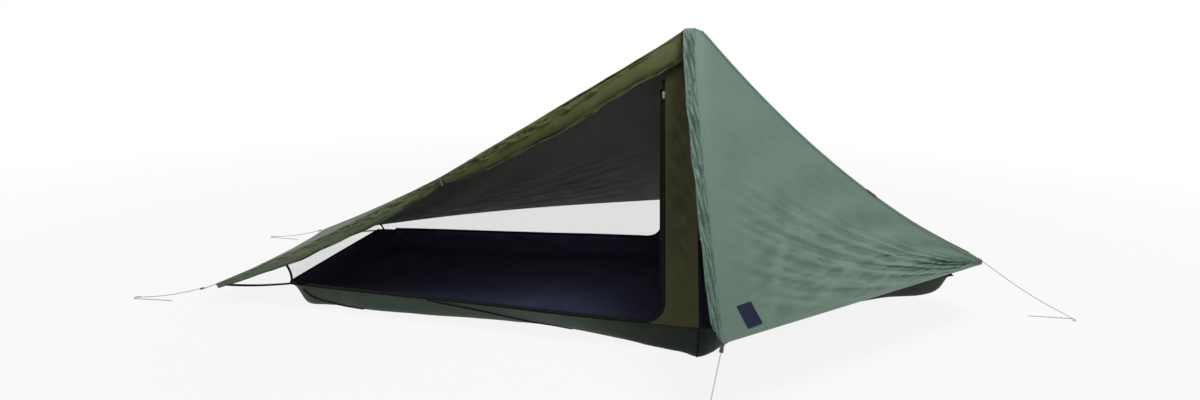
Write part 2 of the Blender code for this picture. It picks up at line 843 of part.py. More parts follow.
def roll_size(shares):
    """The roll's depth and breadth, a little lumpy along its length."""
    lumps = 1 + sum(share * np.sin(rate * shares) for share, rate in zip(roll_lump_shares, roll_lump_rates))
    depth = roll_height * np.interp(shares, roll_place_shares, roll_depth_shares) * lumps
    return depth, depth * np.interp(shares, roll_place_shares, roll_breadth_shares)


def build_roll(tent, finish):
    """The open door, rolled up along its seam and tied near the middle."""
    even_shares = np.linspace(roll_start_share, roll_end_share, 31)
    shares = np.unique(np.round(np.concatenate([even_shares, roll_place_shares[6:11]]), 4))
    seam, down, outward = roll_frame(shares)
    depth, breadth = roll_size(shares)
    angles = np.linspace(roll_opening, -roll_opening, 11)
    rings = []
    for k in range(len(shares)):
        centre = seam[k] + down[k] * (roll_gap + depth[k] / 2) + outward[k] * (breadth[k] / 2 + net_cloth)
        tip = seam[k] + down[k] * roll_gap + outward[k] * fly_cloth
        ring = [tip + outward[k] * fly_cloth / 2]
        for angle in angles:
            ring.append(
                centre + down[k] * math.cos(angle) * depth[k] / 2
                + outward[k] * math.sin(angle) * breadth[k] / 2
            )
        ring.append(tip - outward[k] * fly_cloth / 2)
        rings.append(ring)
    loft("near_foot_door_roll", rings, finish["roof"], tent)

    place = np.array([tie_place_share])
    seam, down, outward = roll_frame(place)
    deep, broad = (float(size[0]) for size in roll_size(place))
    centre = seam[0] + down[0] * (roll_gap + deep / 2) + outward[0] * (broad / 2 + net_cloth)
    loop = []
    for angle in np.linspace(tie_opening, -tie_opening, 17):
        loop.append(
            centre + down[0] * math.cos(angle) * (deep / 2 + tie_radius + 2 * seam_gap)
            + outward[0] * math.sin(angle) * (broad / 2 + tie_radius + 2 * seam_gap)
        )
    tube("door_tie", loop, tie_radius, finish["binding"], tent)
    middle = centre + outward[0] * (broad / 2 + 2 * tie_radius + toggle_radius + 3 * seam_gap)
    placed = pointing(middle + down[0] * (toggle_length / 2 + toggle_drop), -down[0], (1, 0, 0))
    profile = [
        (0, 0), (toggle_radius * 0.7, 0), (toggle_radius, toggle_length * 0.08),
        (toggle_radius, toggle_length * 0.92), (toggle_radius * 0.7, toggle_length), (0, toggle_length),
    ]
    lathe("door_toggle", profile, placed, finish["black"], tent, 12)


def build_inner(tent, finish):
    tub = tub_grid() + np.array([0, 0, tub_cloth / 2])
    cloth("bathtub_floor", tub, surface_normals(tub, 1), tub_cloth, finish["tub"], tent)

    half = seam_gap / 2
    pieces = (
        ("net_door", net_door_grid(), ("end", "high"), half, net_cloth, "net"),
        ("top_net", top_net_grid(), ("end", "low"), half, net_cloth, "net"),
        ("side_panel", side_panel_grid(), ("start", "end"), half, net_cloth, "panel"),
        ("head_net", head_net_grid(), ("end",), half, net_cloth, "net"),
        ("zip_tape", tape_grid(), ("start",), half, tape_depth, "black"),
    )
    for word, grid, edges, distance, thickness, colour in pieces:
        lean = surface_normals(grid, 1)
        placed = pulled_in(grid, edges, distance)
        for side, where in ((-1, "near_"), (1, "far_")):
            cloth(where + word, mirrored(placed, side), mirrored(lean, side), thickness, finish[colour], tent)

    for name, reach, columns in (("foot_net", -tub_foot_reach, 9), ("end_net", tub_head_reach, 5)):
        grid = end_net_grid(reach, columns)
        cloth(name, grid, surface_normals(grid, 1), net_cloth, finish["net"], tent)

    build_sliders(tent, finish)
    build_straps(tent, finish)


def build_sliders(tent, finish):
    """A zip slider near the top of each straight run, with its pull hanging down."""
    height, length = wall_spans()
    middle_column = 1 - (tape_width / 2 + seam_gap) / length
    ends = wall_point(np.full(2, middle_column), np.array([slider_top_row, slider_low_row]))
    run = ends[1] - ends[0]
    surface = tape_grid()
    outward = surface_normals(surface, 1)[4, 0]
    outward = outward if outward[1] < 0 else -outward
    stand = tape_depth / 2 + seam_gap + slider_depth / 2
    for side, where in ((-1, "near_"), (1, "far_")):
        down = mirrored(unit(run), side)
        out = mirrored(outward, side)
        centre = mirrored(ends[0], side) + out * stand + down * slider_length / 2
        placed = pointing(centre, down, out)
        size = (slider_width, slider_depth, slider_length)
        box(where + "slider", size, placed, finish["pull"], tent, slider_depth / 4)


def build_straps(tent, finish):
    """Webbing from the bathtub's ends to the fly's corners."""
    shares = np.linspace(0, 1, 7)
    flat = np.repeat([[0.0, 0.0, 1.0]], len(shares), axis=0)
    start = tub_edge()[0] + np.array([-strap_gap, strap_width / 2, -strap_drop / 2])
    stop = foot_seam(np.array([strap_seam_share]))[0] + np.array([0, strap_width, -strap_drop])
    line = start + (stop - start) * shares[:, None]
    line[:, 2] -= strap_width / 3 * np.sin(math.pi * shares)
    for side, where in ((-1, "near_"), (1, "far_")):
        flat_strip(
            where + "foot_strap", mirrored(line, side), flat, strap_width, strap_depth, finish["binding"], tent,
        )
    start = np.array([tub_head_reach + strap_gap, 0, tub_edge()[-1, 2] - strap_drop / 2])
    stop = head_seam(np.array([strap_seam_share]))[0] * np.array([1.0, 0.0, 1.0]) - np.array([0, 0, strap_drop])
    line = start + (stop - start) * shares[:, None]
    flat_strip("head_strap", line, flat, strap_width, strap_depth, finish["binding"], tent)


def pole_line():
    """Foot and head ends of the pole on the open side, and its direction."""
    foot = np.array([pole_foot_offset, -pole_foot_half, 0.0])
    strut_top = peak_height - fly_cloth / 2 - seam_gap
    head = np.array([pole_head_offset, -pole_head_half, strut_top - 2 * strut_radius - seam_gap])
    lean = unit(head - foot)
    slant = math.sqrt(1 - lean[2] ** 2)
    foot[2] = tub_cloth + tab_depth + 2 * seam_gap + tip_end_radius * slant
    head[2] -= cup_radius * slant
    return foot, head, unit(head - foot)


def build_pole(tent, finish, side, where):
    foot, head, lean = pole_line()
    length = float(np.linalg.norm(head - foot))
    foot = mirrored(foot, side)
    lean = mirrored(lean, side)
    beside = (1.0, 0.0, 0.0)
    placed = pointing(foot, lean, beside)

    def turned(name, profile, colour, steps=16):
        return lathe(where + name, profile, placed, finish[colour], tent, steps)

    turned("pole_lower", [
        (0, 0), (tip_end_radius, 0), (tip_radius, tip_length * 0.4), (lower_radius, tip_length),
        (lower_radius, basket_height), (basket_radius, basket_height),
        (basket_radius, basket_height + basket_depth), (lower_radius, basket_height + basket_depth),
        (lower_radius, lower_top), (0, lower_top),
    ], "shaft")
    grip_top = length - cup_wall - seam_gap
    grip_low = grip_top - grip_length
    shaft_top = grip_low - seam_gap
    turned("pole_upper", [
        (0, shaft_top - upper_radius), (bore_radius, shaft_top - upper_radius), (bore_radius, upper_bottom),
        (clamp_radius * 0.9, upper_bottom), (clamp_radius, upper_bottom + clamp_length * 0.08),
        (clamp_radius, upper_bottom + clamp_length), (upper_radius, upper_bottom + clamp_length * 1.15),
        (upper_radius, shaft_top), (0, shaft_top),
    ], "shaft")
    grip_line = [
        (grip_radius * turn, grip_low + grip_length * rise)
        for turn, rise in zip(grip_turn_shares, grip_rise_shares)
    ]
    turned("pole_grip", [(0, grip_low), *grip_line, (0, grip_top)], "grip")
    inner = grip_radius + seam_gap
    turned("pole_cup", [
        (0, length - cup_wall), (inner, length - cup_wall), (inner, length - cup_length),
        (cup_radius, length - cup_length), (cup_radius, length), (0, length),
    ], "black")

    # The lever lies along the clamp and turns out about its upper end.
    hinge_along = upper_bottom + clamp_length * 0.9
    out = np.array([1.0, 0.0, 0.0])
    out = unit(out - lean * np.dot(out, lean))
    reach = clamp_radius + seam_gap + lever_depth / 2
    pivot = foot + lean * hinge_along + out * reach
    centre = pivot - lean * (lever_length - lever_depth) / 2
    turn = pointing(centre, -lean, np.cross(lean, out))
    box(
        where + "pole_lever", (lever_depth, lever_width, lever_length), turn, finish["black"], tent,
        lever_depth * 0.45,
    )

    # The wrist strap hangs straight down beside the grip in a drop-shaped loop.
    top = foot + lean * (grip_top - grip_length * 0.24)
    turns = np.linspace(0, 2 * math.pi, 17)
    swing = wrist_loop_half * np.sin(turns / 2) * (1 - np.sin(turns))
    swing += wrist_loop_spread * turns / (2 * math.pi)
    drop = wrist_strap_length * (1 - np.cos(turns)) / 2
    straight_down = np.array([0.0, 0.0, -1.0])
    loop = top + out * (grip_radius + swing)[:, None] + straight_down * drop[:, None]
    ahead = unit(np.gradient(loop, axis=0))
    flat = np.cross(ahead, unit(np.cross(out, straight_down)))
    flat_strip(where + "wrist_strap", loop, flat, wrist_strap_width, wrist_strap_depth, finish["binding"], tent)

    tab_centre = (foot[0], foot[1], tub_cloth + seam_gap + tab_depth / 2)
    placed = Matrix.Translation(tab_centre)
    box(where + "pole_tab", (tab_length, tab_width, tab_depth), placed, finish["binding"], tent, tab_depth / 3)


def build_frame(tent, finish):
    height = peak_height - fly_cloth / 2 - seam_gap - strut_radius
    placed = pointing((pole_head_offset, -strut_length / 2, height), (0, 1, 0), (1, 0, 0))
    lathe("ridge_strut", [
        (0, 0), (strut_radius * 0.8, 0), (strut_radius, strut_radius * 0.3),
        (strut_radius, strut_length - strut_radius * 0.3), (strut_radius * 0.8, strut_length), (0, strut_length),
    ], placed, finish["shaft"], tent, 16)
    for side, where in ((-1, "near_"), (1, "far_")):
        build_pole(tent, finish, side, where)


def anchor_points():
    """Where each guyline's webbing meets the fly, its peg's place, and the cloth's half depth there."""
    foot = np.array([-foot_corner_reach, -foot_corner_half, foot_corner_height])
    foot_peg = np.array([-foot_peg_reach, -foot_peg_half, 0.0])
    head = np.array([head_corner_reach, 0.0, head_corner_height])
    head_peg = np.array([head_peg_reach, 0.0, 0.0])
    side_peg = np.array([side_peg_offset, -side_peg_reach, 0.0])
    return {
        "near_foot": (foot, foot_peg, 0.0),
        "far_foot": (mirrored(foot, 1), mirrored(foot_peg, 1), 0.0),
        "near_side": (side_corner(), side_peg, fly_cloth / 2),
        "far_side": (mirrored(side_corner(), 1), mirrored(side_peg, 1), fly_cloth / 2),
        "head": (head, head_peg, 0.0),
    }


def build_anchors(tent, finish):
    """At each corner a webbing tail with its tightener, a guyline and a peg laid on the ground."""
    for word, (corner, peg, cloth_reach) in anchor_points().items():
        peg = peg + np.array([0, 0, peg_radius + seam_gap])
        ahead = unit(peg - corner)
        level = unit(ahead * np.array([1.0, 1.0, 0.0]))
        beside = np.cross(np.array([0, 0, 1.0]), level)
        up = unit(np.cross(ahead, beside))
        up = up if up[2] > 0 else -up
        start = corner + ahead * (lock_gap + cloth_reach)
        places = lock_place_shares * (2 * lock_length)
        widths = lock_width_shares * lock_width
        depths = lock_depth_shares * lock_depth
        rings = []
        for place, width, depth in zip(places, widths, depths):
            centre = start + ahead * place
            rings.append([
                centre + beside * width / 2 + up * depth / 2, centre - beside * width / 2 + up * depth / 2,
                centre - beside * width / 2 - up * depth / 2, centre + beside * width / 2 - up * depth / 2,
            ])
        loft(word + "_tightener", rings, finish["black"], tent)

        begin = start + ahead * (2 * lock_length + seam_gap)
        inside = peg - ahead * (peg_radius + 2 * seam_gap)
        shares = np.linspace(0, 1, 9)
        line = begin + (inside - begin) * shares[:, None]
        drop = np.linalg.norm(inside - begin) * line_sag_share
        line[:, 2] -= np.minimum(drop * np.sin(math.pi * shares), line[:, 2] - inside[2])
        tube(word + "_guyline", line, line_radius, finish["line"], tent)

        middle = peg - level * peg_hook
        hook = middle + peg_hook * (level * np.cos(hook_turns)[:, None] + beside * np.sin(hook_turns)[:, None])
        tail = hook[-1] - level * peg_tail_shares[:, None] * peg_length
        tube(word + "_peg", np.concatenate([hook, tail]), peg_radius, finish["peg"], tent)


def build_patch(tent, finish, door, lean):
    """A bare square of cloth low on the open side's head door."""
    top = np.concatenate([cap_profile()[cap_middle:-1], head_seam(head_shares)])
    places = (top[:, 0] - top[0, 0]) / (top[-1, 0] - top[0, 0])
    rows = door_rows()
    grid = np.empty((4, 4, 3))
    leans = np.empty((4, 4, 3))
    for i, across in enumerate(np.linspace(0, 1, 4)):
        for j, down in enumerate(np.linspace(0, 1, 4)):
            high = patch_corner_shares[0] + (patch_corner_shares[1] - patch_corner_shares[0]) * across
            low = patch_corner_shares[3] + (patch_corner_shares[2] - patch_corner_shares[3]) * across
            place, row = high + (low - high) * down
            a = np.interp(place, places, np.arange(len(places)))
            b = np.interp(row, rows, np.arange(len(rows)))
            a0 = int(a)
            b0 = int(b)
            for made, source in ((grid, door), (leans, lean)):
                left = source[a0, b0] * (1 - (b - b0)) + source[a0, b0 + 1] * (b - b0)
                right = source[a0 + 1, b0] * (1 - (b - b0)) + source[a0 + 1, b0 + 1] * (b - b0)
                made[i, j] = left * (1 - (a - a0)) + right * (a - a0)
    leans = unit(leans)
    grid += leans * (fly_cloth / 2 + patch_depth / 2 + 2 * seam_gap)
    cloth("door_patch", grid, leans, patch_depth, finish["patch"], tent)


finishes = {
    "roof": ("Roof cloth", (0.078, 0.093, 0.040), 0.75),
    "sage": ("Door cloth", (0.145, 0.230, 0.175), 0.7),
    "flap": ("Flap cloth", (0.170, 0.255, 0.245), 0.7),
    "tub": ("Floor cloth", (0.052, 0.071, 0.049), 0.65),
    "net": ("Netting", (0.60, 0.63, 0.63), 0.9),
    "panel": ("Panel cloth", (0.050, 0.045, 0.018), 0.8),
    "binding": ("Binding", (0.010, 0.011, 0.012), 0.7),
    "black": ("Black plastic", (0.014, 0.014, 0.015), 0.45),
    "patch": ("Patch cloth", (0.014, 0.023, 0.058), 0.8),
    "line": ("Guyline", (0.55, 0.50, 0.38), 0.8),
    "shaft": ("Anodised tube", (0.33, 0.34, 0.35), 0.35),
    "grip": ("Grip foam", (0.03, 0.03, 0.032), 0.85),
    "peg": ("Peg alloy", (0.45, 0.46, 0.47), 0.35),
    "pull": ("Zip slider", (0.42, 0.42, 0.40), 0.5),
}


def main():
    for leftover in list(bpy.data.objects):
        bpy.data.objects.remove(leftover)
    bpy.context.scene.unit_settings.system = "METRIC"
    tent = bpy.data.collections.new("Trekking pole tent")
    bpy.context.scene.collection.children.link(tent)
    finish = {}
    for key, (name, colour, roughness) in finishes.items():
        metal = 1.0 if key in ("shaft", "peg") else 0.0
        finish[key] = material(name, colour, roughness, metal)
    door, lean = build_fly(tent, finish)
    build_patch(tent, finish, door, lean)
    build_roll(tent, finish)
    build_inner(tent, finish)
    build_frame(tent, finish)
    build_anchors(tent, finish)


main()
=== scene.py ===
import math

import bmesh
import bpy
import numpy as np
from mathutils import Matrix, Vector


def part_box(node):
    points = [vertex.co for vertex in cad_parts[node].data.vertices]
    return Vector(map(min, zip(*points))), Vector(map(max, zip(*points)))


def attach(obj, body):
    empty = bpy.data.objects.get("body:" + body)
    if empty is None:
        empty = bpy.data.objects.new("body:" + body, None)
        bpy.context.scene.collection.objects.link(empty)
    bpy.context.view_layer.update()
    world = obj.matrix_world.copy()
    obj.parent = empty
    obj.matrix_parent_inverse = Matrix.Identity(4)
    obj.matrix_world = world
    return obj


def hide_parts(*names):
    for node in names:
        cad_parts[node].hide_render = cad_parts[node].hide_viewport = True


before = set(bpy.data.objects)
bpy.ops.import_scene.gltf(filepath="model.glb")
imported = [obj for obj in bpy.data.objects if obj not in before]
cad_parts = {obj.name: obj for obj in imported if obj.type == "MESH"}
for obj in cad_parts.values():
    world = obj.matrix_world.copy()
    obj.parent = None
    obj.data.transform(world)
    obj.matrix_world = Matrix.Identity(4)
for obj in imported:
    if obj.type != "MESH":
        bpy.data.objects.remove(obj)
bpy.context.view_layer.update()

sides = ((-1, "near"), (1, "far"))
upward = np.array([0.0, 0.0, 1.0])

# Metres, +X to the low head end, -Y to the side with the rolled-up door, +Z up.
fly = dict(
    peakHeight=1.14, peakHalf=0.09, capFootReach=0.035, capFootDrop=0.015, capHeadReach=0.07,
    capHeadDrop=0.032, capSplit=0.02, footReach=1.909, footHalf=0.418, footHeight=0.061, footSag=0.064,
    footHemPull=0.03, roofSag=0.012, roofWrinkle=0.0022, headReach=1.207, headHalf=0.05, headHeight=0.247,
    headSag=0.091, sideOffset=0.096, sideHalf=0.909, sideHeight=0.23, cornerDepth=0.015, zipBow=0.015,
    doorHollow=0.02, crease=0.004, hemCrease=0.007, fineWrinkle=0.0016, pull=0.0115, cornerCrease=0.004,
    hemArch=0.03, thickness=0.0012, flapWidth=0.05, flapTaper=0.15, flapLift=0.006, flapSlant=0.05,
    flapWave=0.004, flapPucker=0.013, flapWrinkle=0.002, flapRim=0.007, joinLift=0.0013, seamWidth=0.013,
    seamOver=0.003, seamDepth=0.001, seamLift=0.0012, hemWidth=0.016, hemDepth=0.0008, hemLift=0.0011,
    knotLift=0.0035, knotRadius=0.0045,
)
inner = dict(
    floorFoot=1.51, floorHead=1.0, floorHalf=0.56, wallHeight=0.092, topFoot=1.565, topHead=1.055,
    headLift=0.125, thickness=0.0012, floorClear=0.0013, wallCrease=0.004, floorCrease=0.0016,
    rimRadius=0.0016, pipeRadius=0.0030, pipeOut=0.0022, rimGap=0.0017, wallInset=0.014, wallDrop=0.0026,
    wallClear=0.0015, netInset=0.012, zipReach=0.055, zipTopReach=0.09, zipTopHeight=0.930012,
    doorFoot=1.505, hingeFoot=1.45, hingeFootHeight=0.175, zipRadius=0.08, tapeWidth=0.012,
    tapeDepth=0.0014, coilRadius=0.0019, coilLift=0.0009, netThickness=0.0006, netBelly=0.004,
    panelThickness=0.0009, panelBelly=0.006, panelCrease=0.0035, panelRow=0.82, cornerShare=0.06,
    gap=0.0003, bindingWidth=0.009, bindingDepth=0.0024, footLean=0.085, footBow=0.016, cageLift=0.0007,
    ringLift=0.0005, endTuck=0.001,
)
# The bathtub's stations as shares of its two lengths, and at each the half widths, the lift and the wall
stationShares = np.array([
    -1, -0.913, -0.8, -0.6, -0.43, -0.3, -0.172, -0.06, 0.013, 0.06, 0.112, 0.15, 0.25, 0.42, 0.6, 0.8, 1,
])
floorShares = np.array([
    0.628, 0.65, 0.685, 0.696, 0.696, 0.72, 0.812, 0.905, 0.955, 1, 0.92, 0.83, 0.64, 0.47, 0.35, 0.27, 0.215,
])
rimShares = np.array([
    0.705, 0.742, 0.768, 0.807, 0.848, 0.888, 0.915, 0.93, 0.938, 0.946, 0.915, 0.865, 0.715, 0.545, 0.42,
    0.335, 0.268,
])
liftShares = np.array([0] * 13 + [0.16, 0.48, 0.8, 1.0])
riseShares = np.array([1] * 13 + [0.97, 0.95, 0.93, 0.92])
widest = 9


def unit(v):
    # each vector over its own length
    return v / np.maximum(np.linalg.norm(v, axis=-1, keepdims=True), 1e-12)


def mirrored(points, side):
    # -1 leaves the near side as it is, +1 turns it over to the far side
    return points * np.array([1.0, -side, 1.0])


def between(start, stop, share):
    # the point at each share of the way from start to stop
    return start + (stop - start) * share[..., None]


def at(curve, x):
    # the curve's y and z at each x
    x = np.asarray(x, float)
    return np.stack([x, *(np.interp(x, curve[:, 0], curve[:, k]) for k in (1, 2))], axis=-1)


def shares(count):
    # evenly spaced places from 0 to 1
    return np.linspace(0, 1, count)


def capped(v):
    # held between 0 and 1
    return np.clip(v, 0, 1)


def hump(v):
    # 0 at both ends and 1 in the middle
    return np.sin(math.pi * v)


def addObject(name, data):
    made = bpy.data.objects.new(name, data)
    bpy.context.scene.collection.objects.link(made)
    return made


def stoodAt(right, up, back, place):
    # the matrix of an object with its own x, y and z toward the right, up and back
    turned = np.eye(4)
    turned[:3] = np.stack([right, up, back, place], axis=1)
    return Matrix(turned.tolist())


# Outline curves
sideCorner = np.array([fly["sideOffset"], -fly["sideHalf"], fly["sideHeight"]])
headCorner = np.array([fly["headReach"], -fly["headHalf"], fly["headHeight"]])
footCorner = np.array([-fly["footReach"], -fly["footHalf"], fly["footHeight"]])
headLow, footLow = (corner - upward * fly["cornerDepth"] for corner in (headCorner, footCorner))


def ridgeCurve():
    # each half of the ridge is a straight line less a parabola; the cap is a short polyline; then the
    # corners near the peak are eased by a running mean
    s = shares(400)

    def sagging(start, stop, sag):
        line = between(start, stop, s)
        line[:, 2] -= sag * 4 * s * (1 - s)
        return line
    peak, half = fly["peakHeight"], fly["peakHalf"]
    capFoot = np.array([-fly["capFootReach"], -half, peak - fly["capFootDrop"]])
    capHead = np.array([fly["capHeadReach"], -half, peak - fly["capHeadDrop"]])
    capX = [-0.68 * fly["capFootReach"], -0.35 * fly["capFootReach"], fly["capSplit"]]
    capX = np.array([*capX, 0.35 * fly["capHeadReach"], 0.66 * fly["capHeadReach"]])
    capZ = np.array([peak - 0.3 * fly["capFootDrop"], peak, peak, peak, peak - 0.3 * fly["capHeadDrop"]])
    cap = np.stack([capX, np.full(5, -half), capZ], axis=1)
    foot = sagging(capFoot, footCorner, fly["footSag"])[::-1]
    line = np.concatenate([foot, cap, sagging(capHead, headCorner, fly["headSag"])])
    x = np.linspace(line[0, 0], line[-1, 0], 2400)
    z = np.interp(x, line[:, 0], line[:, 2])
    kernel = np.hanning(19) / np.hanning(19).sum()
    eased = np.convolve(np.pad(z, 9, mode="edge"), kernel, mode="valid")
    near = capped((0.2 - np.abs(x)) / 0.1)
    return np.stack([x, np.interp(x, line[:, 0], line[:, 1]), z + (eased - z) * near], axis=1)


ridge = ridgeCurve()


def stations():
    # x of each of the bathtub's stations: its share of the length to the foot or to the head
    return np.where(stationShares < 0, stationShares * inner["floorFoot"], stationShares * inner["floorHead"])


def floorEdge():
    # the floor's near edge: its half width and lift at each station
    return np.stack([stations(), -inner["floorHalf"] * floorShares, inner["headLift"] * liftShares], axis=1)


def rimEdge():
    # the rim's near edge: the wall's height above the floor, at the rim's own half width
    low = floorEdge()
    high = low[:, 2] + inner["wallHeight"] * riseShares
    edge = np.stack([low[:, 0], -inner["floorHalf"] * rimShares, high], axis=1)
    edge[0, 0] = -inner["topFoot"]
    edge[-1, 0] = inner["topHead"]
    return edge


def underRoof(x):
    # where an inner wall ends, a little inboard of the ridge seam and under it
    point = at(ridge, x)
    point[..., 1] += inner["wallInset"]
    point[..., 2] -= inner["wallDrop"] + inner["wallClear"]
    return point


def smoothNoise(a, b, seed, waves=7, low=1.0, high=6.0):
    # a sum of a few plane waves with seeded directions and phases, about -1 to 1
    rng = np.random.RandomState(seed)
    total = np.zeros(np.broadcast(a, b).shape)
    for k in range(waves):
        turn, phase = rng.uniform(0, 2 * math.pi, 2)
        rate = low * (high / low) ** (k / max(waves - 1, 1))
        wave = np.sin(2 * math.pi * rate * (a * math.cos(turn) + b * math.sin(turn)) + phase)
        total += wave / (1 + 0.5 * k)
    return total / 2.2


def crumple(a, b, seed, waves=8, low=1.0, high=5.0):
    # like smoothNoise, but each wave is folded over: its crests are sharp, and it is 0 in the hollows
    rng = np.random.RandomState(seed)
    total, weights = np.zeros(np.broadcast(a, b).shape), 0.0
    for k in range(waves):
        turn, phase = rng.uniform(0, math.pi), rng.uniform(0, 2 * math.pi)
        rate = low * (high / low) ** (k / max(waves - 1, 1))
        weight = 1 / (1 + 0.45 * k)
        wave = np.sin(math.pi * rate * (a * math.cos(turn) + b * math.sin(turn)) + phase)
        total += weight * (1 - np.abs(wave)) ** 2
        weights += weight
    return total / weights * 2.2


# Surfaces: each takes p along the tent and r across or down, both 0 to 1
def roofSurface(p, r):
    # a ruled strip between the two ridge seams, which bellies down in its middle toward the foot
    x = -fly["footReach"] + (fly["footReach"] + fly["headReach"]) * p
    near = at(ridge, x)
    point = between(near, mirrored(near, 1), r)
    belly = 4 * r * (1 - r)
    s = capped((-fly["capFootReach"] - x) / (fly["footReach"] - fly["capFootReach"]))
    point[..., 2] -= fly["roofSag"] * hump(s) * belly
    point[..., 0] += fly["footHemPull"] * s ** 6 * belly
    wrinkle = smoothNoise(p * 6, r * 1.3, 4, 8, 1.0, 7.0)
    point[..., 2] += fly["roofWrinkle"] * wrinkle * np.sqrt(capped(belly)) * np.clip(s * 8, 0.25, 1)
    return point


def doorSurface(p, r, toHead=True):
    # ruled from the ridge down to the hem, with a bowed zip edge, hollowed and creased along its own lean
    endX = fly["headReach"] if toHead else -fly["footReach"]
    top = at(ridge, fly["capSplit"] + (endX - fly["capSplit"]) * p)
    hem = between(sideCorner, headLow if toHead else footLow, p)
    if not toHead:
        hem[..., 2] += fly["hemArch"] * hump(p ** 1.15)
    point = between(top, hem, r)
    point[..., 0] -= fly["zipBow"] * hump(capped(r) ** 0.6) * (1 - p) ** 3
    lean = unit(np.array([0.30, -0.78, 0.55]) if toHead else np.array([-0.15, -0.80, 0.58]))
    swell = hump(p) * hump(r)
    push = -fly["doorHollow"] * swell
    if toHead:
        push = push + fly["crease"] * np.cos(9 * math.pi * p + 5 * math.pi * r) * swell
        push = push + fly["hemCrease"] * np.cos(17 * math.pi * p - 6 * r) * swell * r ** 3
    else:
        push = push + fly["crease"] * np.cos(8 * math.pi * p - 4 * math.pi * r) * swell
    rim = capped(np.sqrt(capped(swell)) * 1.6)
    fine = smoothNoise(p * 4 + r * 1.5, r * 3, 11 if toHead else 12, 8, 1.2, 8.0)
    push = push + fly["fineWrinkle"] * fine * rim * (0.4 + 0.6 * r)
    # long pulls that run a little steeper than the hem, strongest low down and toward the corner
    pulls = crumple(p * 2.4, (r - 0.16 * p) * 17, 13 if toHead else 14, 8, 0.9, 4.0)
    where = capped((r - 0.42) / 0.3) * capped((p - 0.02) / 0.2) * rim
    push = push + fly["pull"] * (pulls - 0.6) * where
    # a crease that rises from the side corner beside the patch
    crease = np.exp(-((p - 0.13 - 0.34 * (1 - r)) / 0.018) ** 2) * capped((r - 0.6) / 0.15)
    push = push + fly["cornerCrease"] * crease * rim
    return point + lean * push[..., None]


def flapSurface(p, r):
    # carries on from the zip edge over the gap: p across the flap, r down it; its free edge ends higher
    r = r * (1 - fly["flapSlant"] * p)
    edge = doorSurface(np.zeros_like(r), r)
    into = unit(doorSurface(np.full_like(r, 0.02), r) - edge)
    below = doorSurface(np.zeros_like(r), np.clip(r + 0.004, 0, 1.01))
    above = doorSurface(np.zeros_like(r), capped(r - 0.004))
    outward = unit(np.cross(unit(below - above), into))
    outward = outward * np.where(outward[..., 1:2] > 0, -1.0, 1.0)
    width = fly["flapWidth"] * (1 - fly["flapTaper"] * r)
    # it lifts toward its free edge, waves down its length and is puckered by the zip's stitching
    lift = fly["flapLift"] * np.sin(0.5 * math.pi * p)
    lift = lift + fly["flapWave"] * p * np.sin(11 * math.pi * r) * hump(r)
    pucker = crumple(r * 9 + p * 2.2, r * 4 - p * 0.4, 21, 7, 1.0, 2.6) - 0.6
    middle = hump(capped(p * 0.85 + 0.1))
    lift = lift + fly["flapPucker"] * pucker * middle * np.clip(r * 20, 0.3, 1)
    lift = lift + fly["flapWrinkle"] * smoothNoise(r * 9, p * 0.6, 22, 6, 1.0, 4.0) * p
    point = edge - into * (width * p)[..., None] + outward * lift[..., None]
    # near the peak the flap folds down over the roof instead of standing above it
    over = at(ridge, np.clip(point[..., 0], -0.2, 0.2))[..., 2] + fly["thickness"]
    point[..., 2] = np.minimum(point[..., 2], over)
    return point


# The rolled door: at each place from peak to foot its depth, its breadth and how far down its groove is
roll = dict(
    places=[-0.012, 0.02, 0.04, 0.1, 0.17, 0.25, 0.33, 0.41, 0.465, 0.5, 0.535, 0.64, 0.8, 0.9, 0.975],
    depths=[0.86, 1.0, 1.14, 1.06, 1.0, 1.15, 0.93, 0.84, 0.55, 0.33, 0.5, 0.62, 0.54, 0.36, 0.2],
    breadths=[0.12, 0.18, 0.24, 0.4, 0.52, 0.58, 0.6, 0.6, 0.55, 0.5, 0.55, 0.55, 0.5, 0.5, 0.5],
    grooves=[0.86, 0.82, 0.78, 0.66, 0.55, 0.46, 0.4, 0.36, 0.32, 0.25, 0.28, 0.36, 0.45, 0.5, 0.5],
    height=0.1, gap=0.0014, tuck=0.004, start=-0.008, end=0.975, sweep=316, wrap=0.16, wrinkle=0.02,
    innerTurns=2.0, innerSize=0.84, innerShrink=0.62, tiePlace=0.5, tieRadius=0.0016, tieGap=0.0006,
    standOff=0.001,
)


def rollPlace(p):
    # the share of the ridge that p on the roll lies at
    return roll["start"] + (roll["end"] - roll["start"]) * p


def rollFrame(s):
    # seam point, the way down along the inner wall, and the way out from it
    def seam(q):
        return at(ridge, -fly["capFootReach"] - (fly["footReach"] - fly["capFootReach"]) * q)
    point = seam(s)
    down = unit(at(rimEdge(), np.clip(point[..., 0], -inner["topFoot"], None)) - point)
    ahead = unit(seam(s + 0.002) - seam(s - 0.002))
    out = unit(np.cross(ahead, down))
    out = out * np.where(out[..., 1:2] > 0, -1.0, 1.0)
    down = unit(np.cross(out, ahead))
    down = down * np.where(down[..., 2:3] > 0, -1.0, 1.0)
    return point, down, out


def rollCentre(s):
    # the roll's middle, its two ways, and its depth and breadth, a little lumpy along its length
    depth = roll["height"] * np.interp(s, roll["places"], roll["depths"])
    depth = depth * (1 + 0.03 * np.sin(41 * s) + 0.025 * np.sin(97 * s))
    breadth = depth * np.interp(s, roll["places"], roll["breadths"])
    seam, down, out = rollFrame(s)
    centre = seam + down * (roll["gap"] + depth / 2)[..., None]
    centre = centre + out * (breadth / 2 + roll["standOff"])[..., None]
    return centre, down, out, depth, breadth


